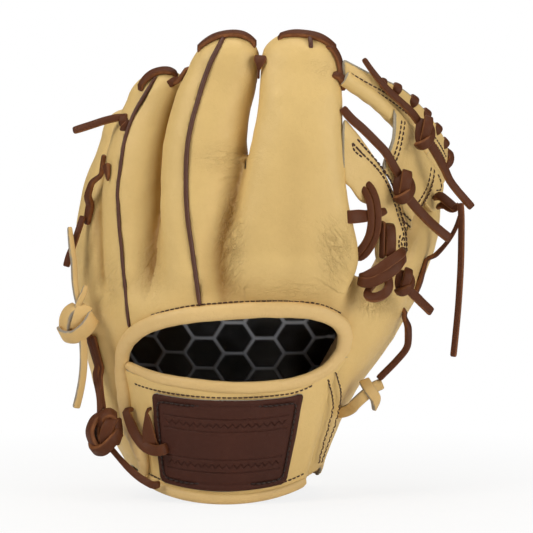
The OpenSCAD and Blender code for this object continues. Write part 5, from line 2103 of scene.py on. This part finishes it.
        self.tail("left_adjusting_end", rows, facing, "left_adjusting_tail", Body.FINGERS, TAN_LACE)

    def heel(self) -> None:
        """The laces of the heel: down the little finger's side to a knot, round the foot, and along the palm's edge."""
        strips = []
        for rows, dive in (
            ([[-99, 6, 101, 4.4, 3.2], [-97.4, 4, 92], [-96, 2, 82], [-94.4, -2, 72, 4, 3], [-92.4, -8, 62, 3.6],
              [-92, -11, 52]], (False, False)),
            ([[-96.6, 3, 100, 3.6, 3], [-95, 2, 90], [-93.2, 0, 78, 3.4], [-91.4, -5, 66, 3],
              [-89.6, -9, 56]], (False, False)),
            ([[-85.4, -10, 32, 3.6, 3], [-80, -12, 26], [-74, -14.5, 20, 4.2], [-67, -18, 14.6, 4.6],
              [-60, -21.5, 11]], (False, True)),
        ):
            strips.append(self.lacer.strip(rows, reach=4.0, dive=dive, extra=0.6))
        strips.append(self.lacer.knot((-89.4, -12.5, 41.4), HEEL_KNOT, 1.02, 7.0, 3.2, 2, (-0.3, -0.95, 0)))
        for rows, lift in (
            ([[-66, -26, 54, 1.6, 2.4], [-66.4, -27, 49, 4.4, 3], [-66.8, -27, 42, 7.6], [-66.4, -27, 34.5, 9.4]], 6.6),
            ([[-80.4, -14, 53, 4.8, 3], [-79, -18, 45.6, 6.2], [-75, -22, 38], [-68.4, -26, 32.4, 6.6],
              [-60.6, -29, 31], [-57, -30, 31.6]], 8.6),
        ):
            strips.append(self.lacer.strip(rows, reach=16.0, dive=(True, True), extra=lift))
        Bench.piece("heel_side_lacing", Skin.join(strips), BROWN_LACE, Body.FINGERS, "heel_side_lace")
        runs = [self.lacer.strip([[x - 7, 62, 17.5, 5, 3], [x - 3, 65, 18.5, 6, 3], [x + 3, 66, 19.5, 6, 3],
                                  [x + 7, 66, 20.5, 5, 3]], reach=14.0, dive=(True, True))
                for x in (-58, -38, -18, 2)]
        Bench.piece("heel_lacing", Skin.join(runs), BROWN_LACE, Body.FINGERS, "heel_lace")


@dataclass
class Studio:
    """The pale floor, the white ground, the soft lights and the camera."""

    aim: Triple = (0.0100, 0.0, 0.1430)
    away: float = 1.4
    elevation: float = 2.0
    view: float = 0.328

    def camera(self) -> None:
        """The camera, level with the glove's back."""
        a = math.radians(self.elevation)
        data = bpy.data.cameras.new("camera")
        data.sensor_width = 36.0
        data.lens = 36.0 * self.away / self.view
        seen = bpy.data.objects.new("camera", data)
        step = Vector((0.0, -math.cos(a), math.sin(a)))
        seen.location = Vector(self.aim) + step * self.away
        seen.rotation_euler = (-step).to_track_quat("-Z", "Y").to_euler()
        bpy.context.scene.collection.objects.link(seen)
        bpy.context.scene.camera = seen

    def lights(self) -> None:
        """Soft lights round the glove, and a white ground that only the camera sees at full strength."""
        scene = bpy.context.scene
        scene.view_settings.view_transform = "Standard"
        for name, spot, size, power in (
            ("key", (-0.86, -0.66, 0.86), 0.45, 7.2), ("fill", (0.95, -0.75, 0.42), 0.6, 6.4), ("top", (0.05, -0.1,
                                                                                                        1.25), 0.6,
                                                                                                        5.0),
            ("back", (0.0, 1.2, 0.6), 1.0, 2.5),
        ):
            data = bpy.data.lights.new(name, "AREA")
            data.energy, data.size, data.color = power, size, (1.0, 0.965, 0.905)
            lamp = bpy.data.objects.new(name, data)
            lamp.location = spot
            lamp.rotation_euler = (Vector(self.aim) - Vector(spot)).to_track_quat("-Z", "Y").to_euler()
            scene.collection.objects.link(lamp)
        world = bpy.data.worlds.new("studio")
        scene.world = world
        world.use_nodes = True
        tree = world.node_tree
        tree.nodes.clear()
        seen = place(tree, "LightPath").outputs["Is Camera Ray"]
        soft = place(tree, "Background", {"Color": (1.0, 0.985, 0.96, 1), "Strength": 0.13})
        white = place(tree, "Background", {"Color": (1, 1, 1, 1), "Strength": 1.0})
        mixed = place(tree, "MixShader", {0: seen, 1: soft.outputs[0], 2: white.outputs[0]})
        place(tree, "OutputWorld", {"Surface": mixed.outputs[0]})

    def floor(self) -> None:
        """The pale floor that keeps the glove's shadow."""
        mesh = bpy.data.meshes.new("floor")
        n = 24
        ring = [(3 * math.cos(2 * math.pi * k / n), 3 * math.sin(2 * math.pi * k / n), -0.0005) for k in range(n)]
        mesh.from_pydata(ring, [], [list(range(n))])
        material, tree, shader = new_material("Pale floor")
        shader.inputs["Roughness"].default_value = 0.9
        tone = blend_colour(tree, cloud(tree, 3.0), (0.95, 0.95, 0.95, 1), (0.97, 0.97, 0.97, 1))
        tree.links.new(tone, shader.inputs["Base Color"])
        far = place(tree, "VectorMath", {0: here(tree)}, operation="LENGTH").outputs["Value"]
        share = place(tree, "MapRange",
                      {"Value": far, "From Min": 0.12, "From Max": 0.42, "To Min": 0.84, "To Max": 1.0})
        seen = calc(tree, "MULTIPLY", share.outputs[0], place(tree, "LightPath").outputs["Is Camera Ray"])
        white = place(tree, "Emission", {"Color": (1, 1, 1, 1), "Strength": 1.0})
        mixed = place(tree, "MixShader", {0: seen, 1: shader.outputs[0], 2: white.outputs[0]})
        tree.links.new(mixed.outputs[0], tree.nodes["Material Output"].inputs["Surface"])
        mesh.materials.append(material)
        thing = bpy.data.objects.new("floor", mesh)
        bpy.context.scene.collection.objects.link(thing)


def main() -> None:
    """Builds the glove in order."""
    logging.basicConfig(level=logging.INFO, format="%(asctime)s %(message)s")
    studio = Studio()
    studio.camera()
    form = GloveForm()
    LOG.info("form worked out")
    lacer = Lacer(form)
    web, lacing, leather, inside, wrist = Web(form, lacer), Lacing(lacer), Leather(form), Inside(form), WristSet(form)
    for step in (
        lacing.tips, lacing.thumb_edge, lacing.little_finger_side, leather.build, leather.welts, inside.linings,
        inside.palm_liner, inside.dress, inside.wrist_pad, inside.heel_pads, wrist.strap, wrist.rolls, wrist.patch,
        wrist.stitches, web.plates, web.bar, lacing.web_laces, lacing.crotch, lacing.thumb_side, lacing.heel,
        studio.lights, studio.floor,
    ):
        step()


if __name__ == "__main__":
    main()
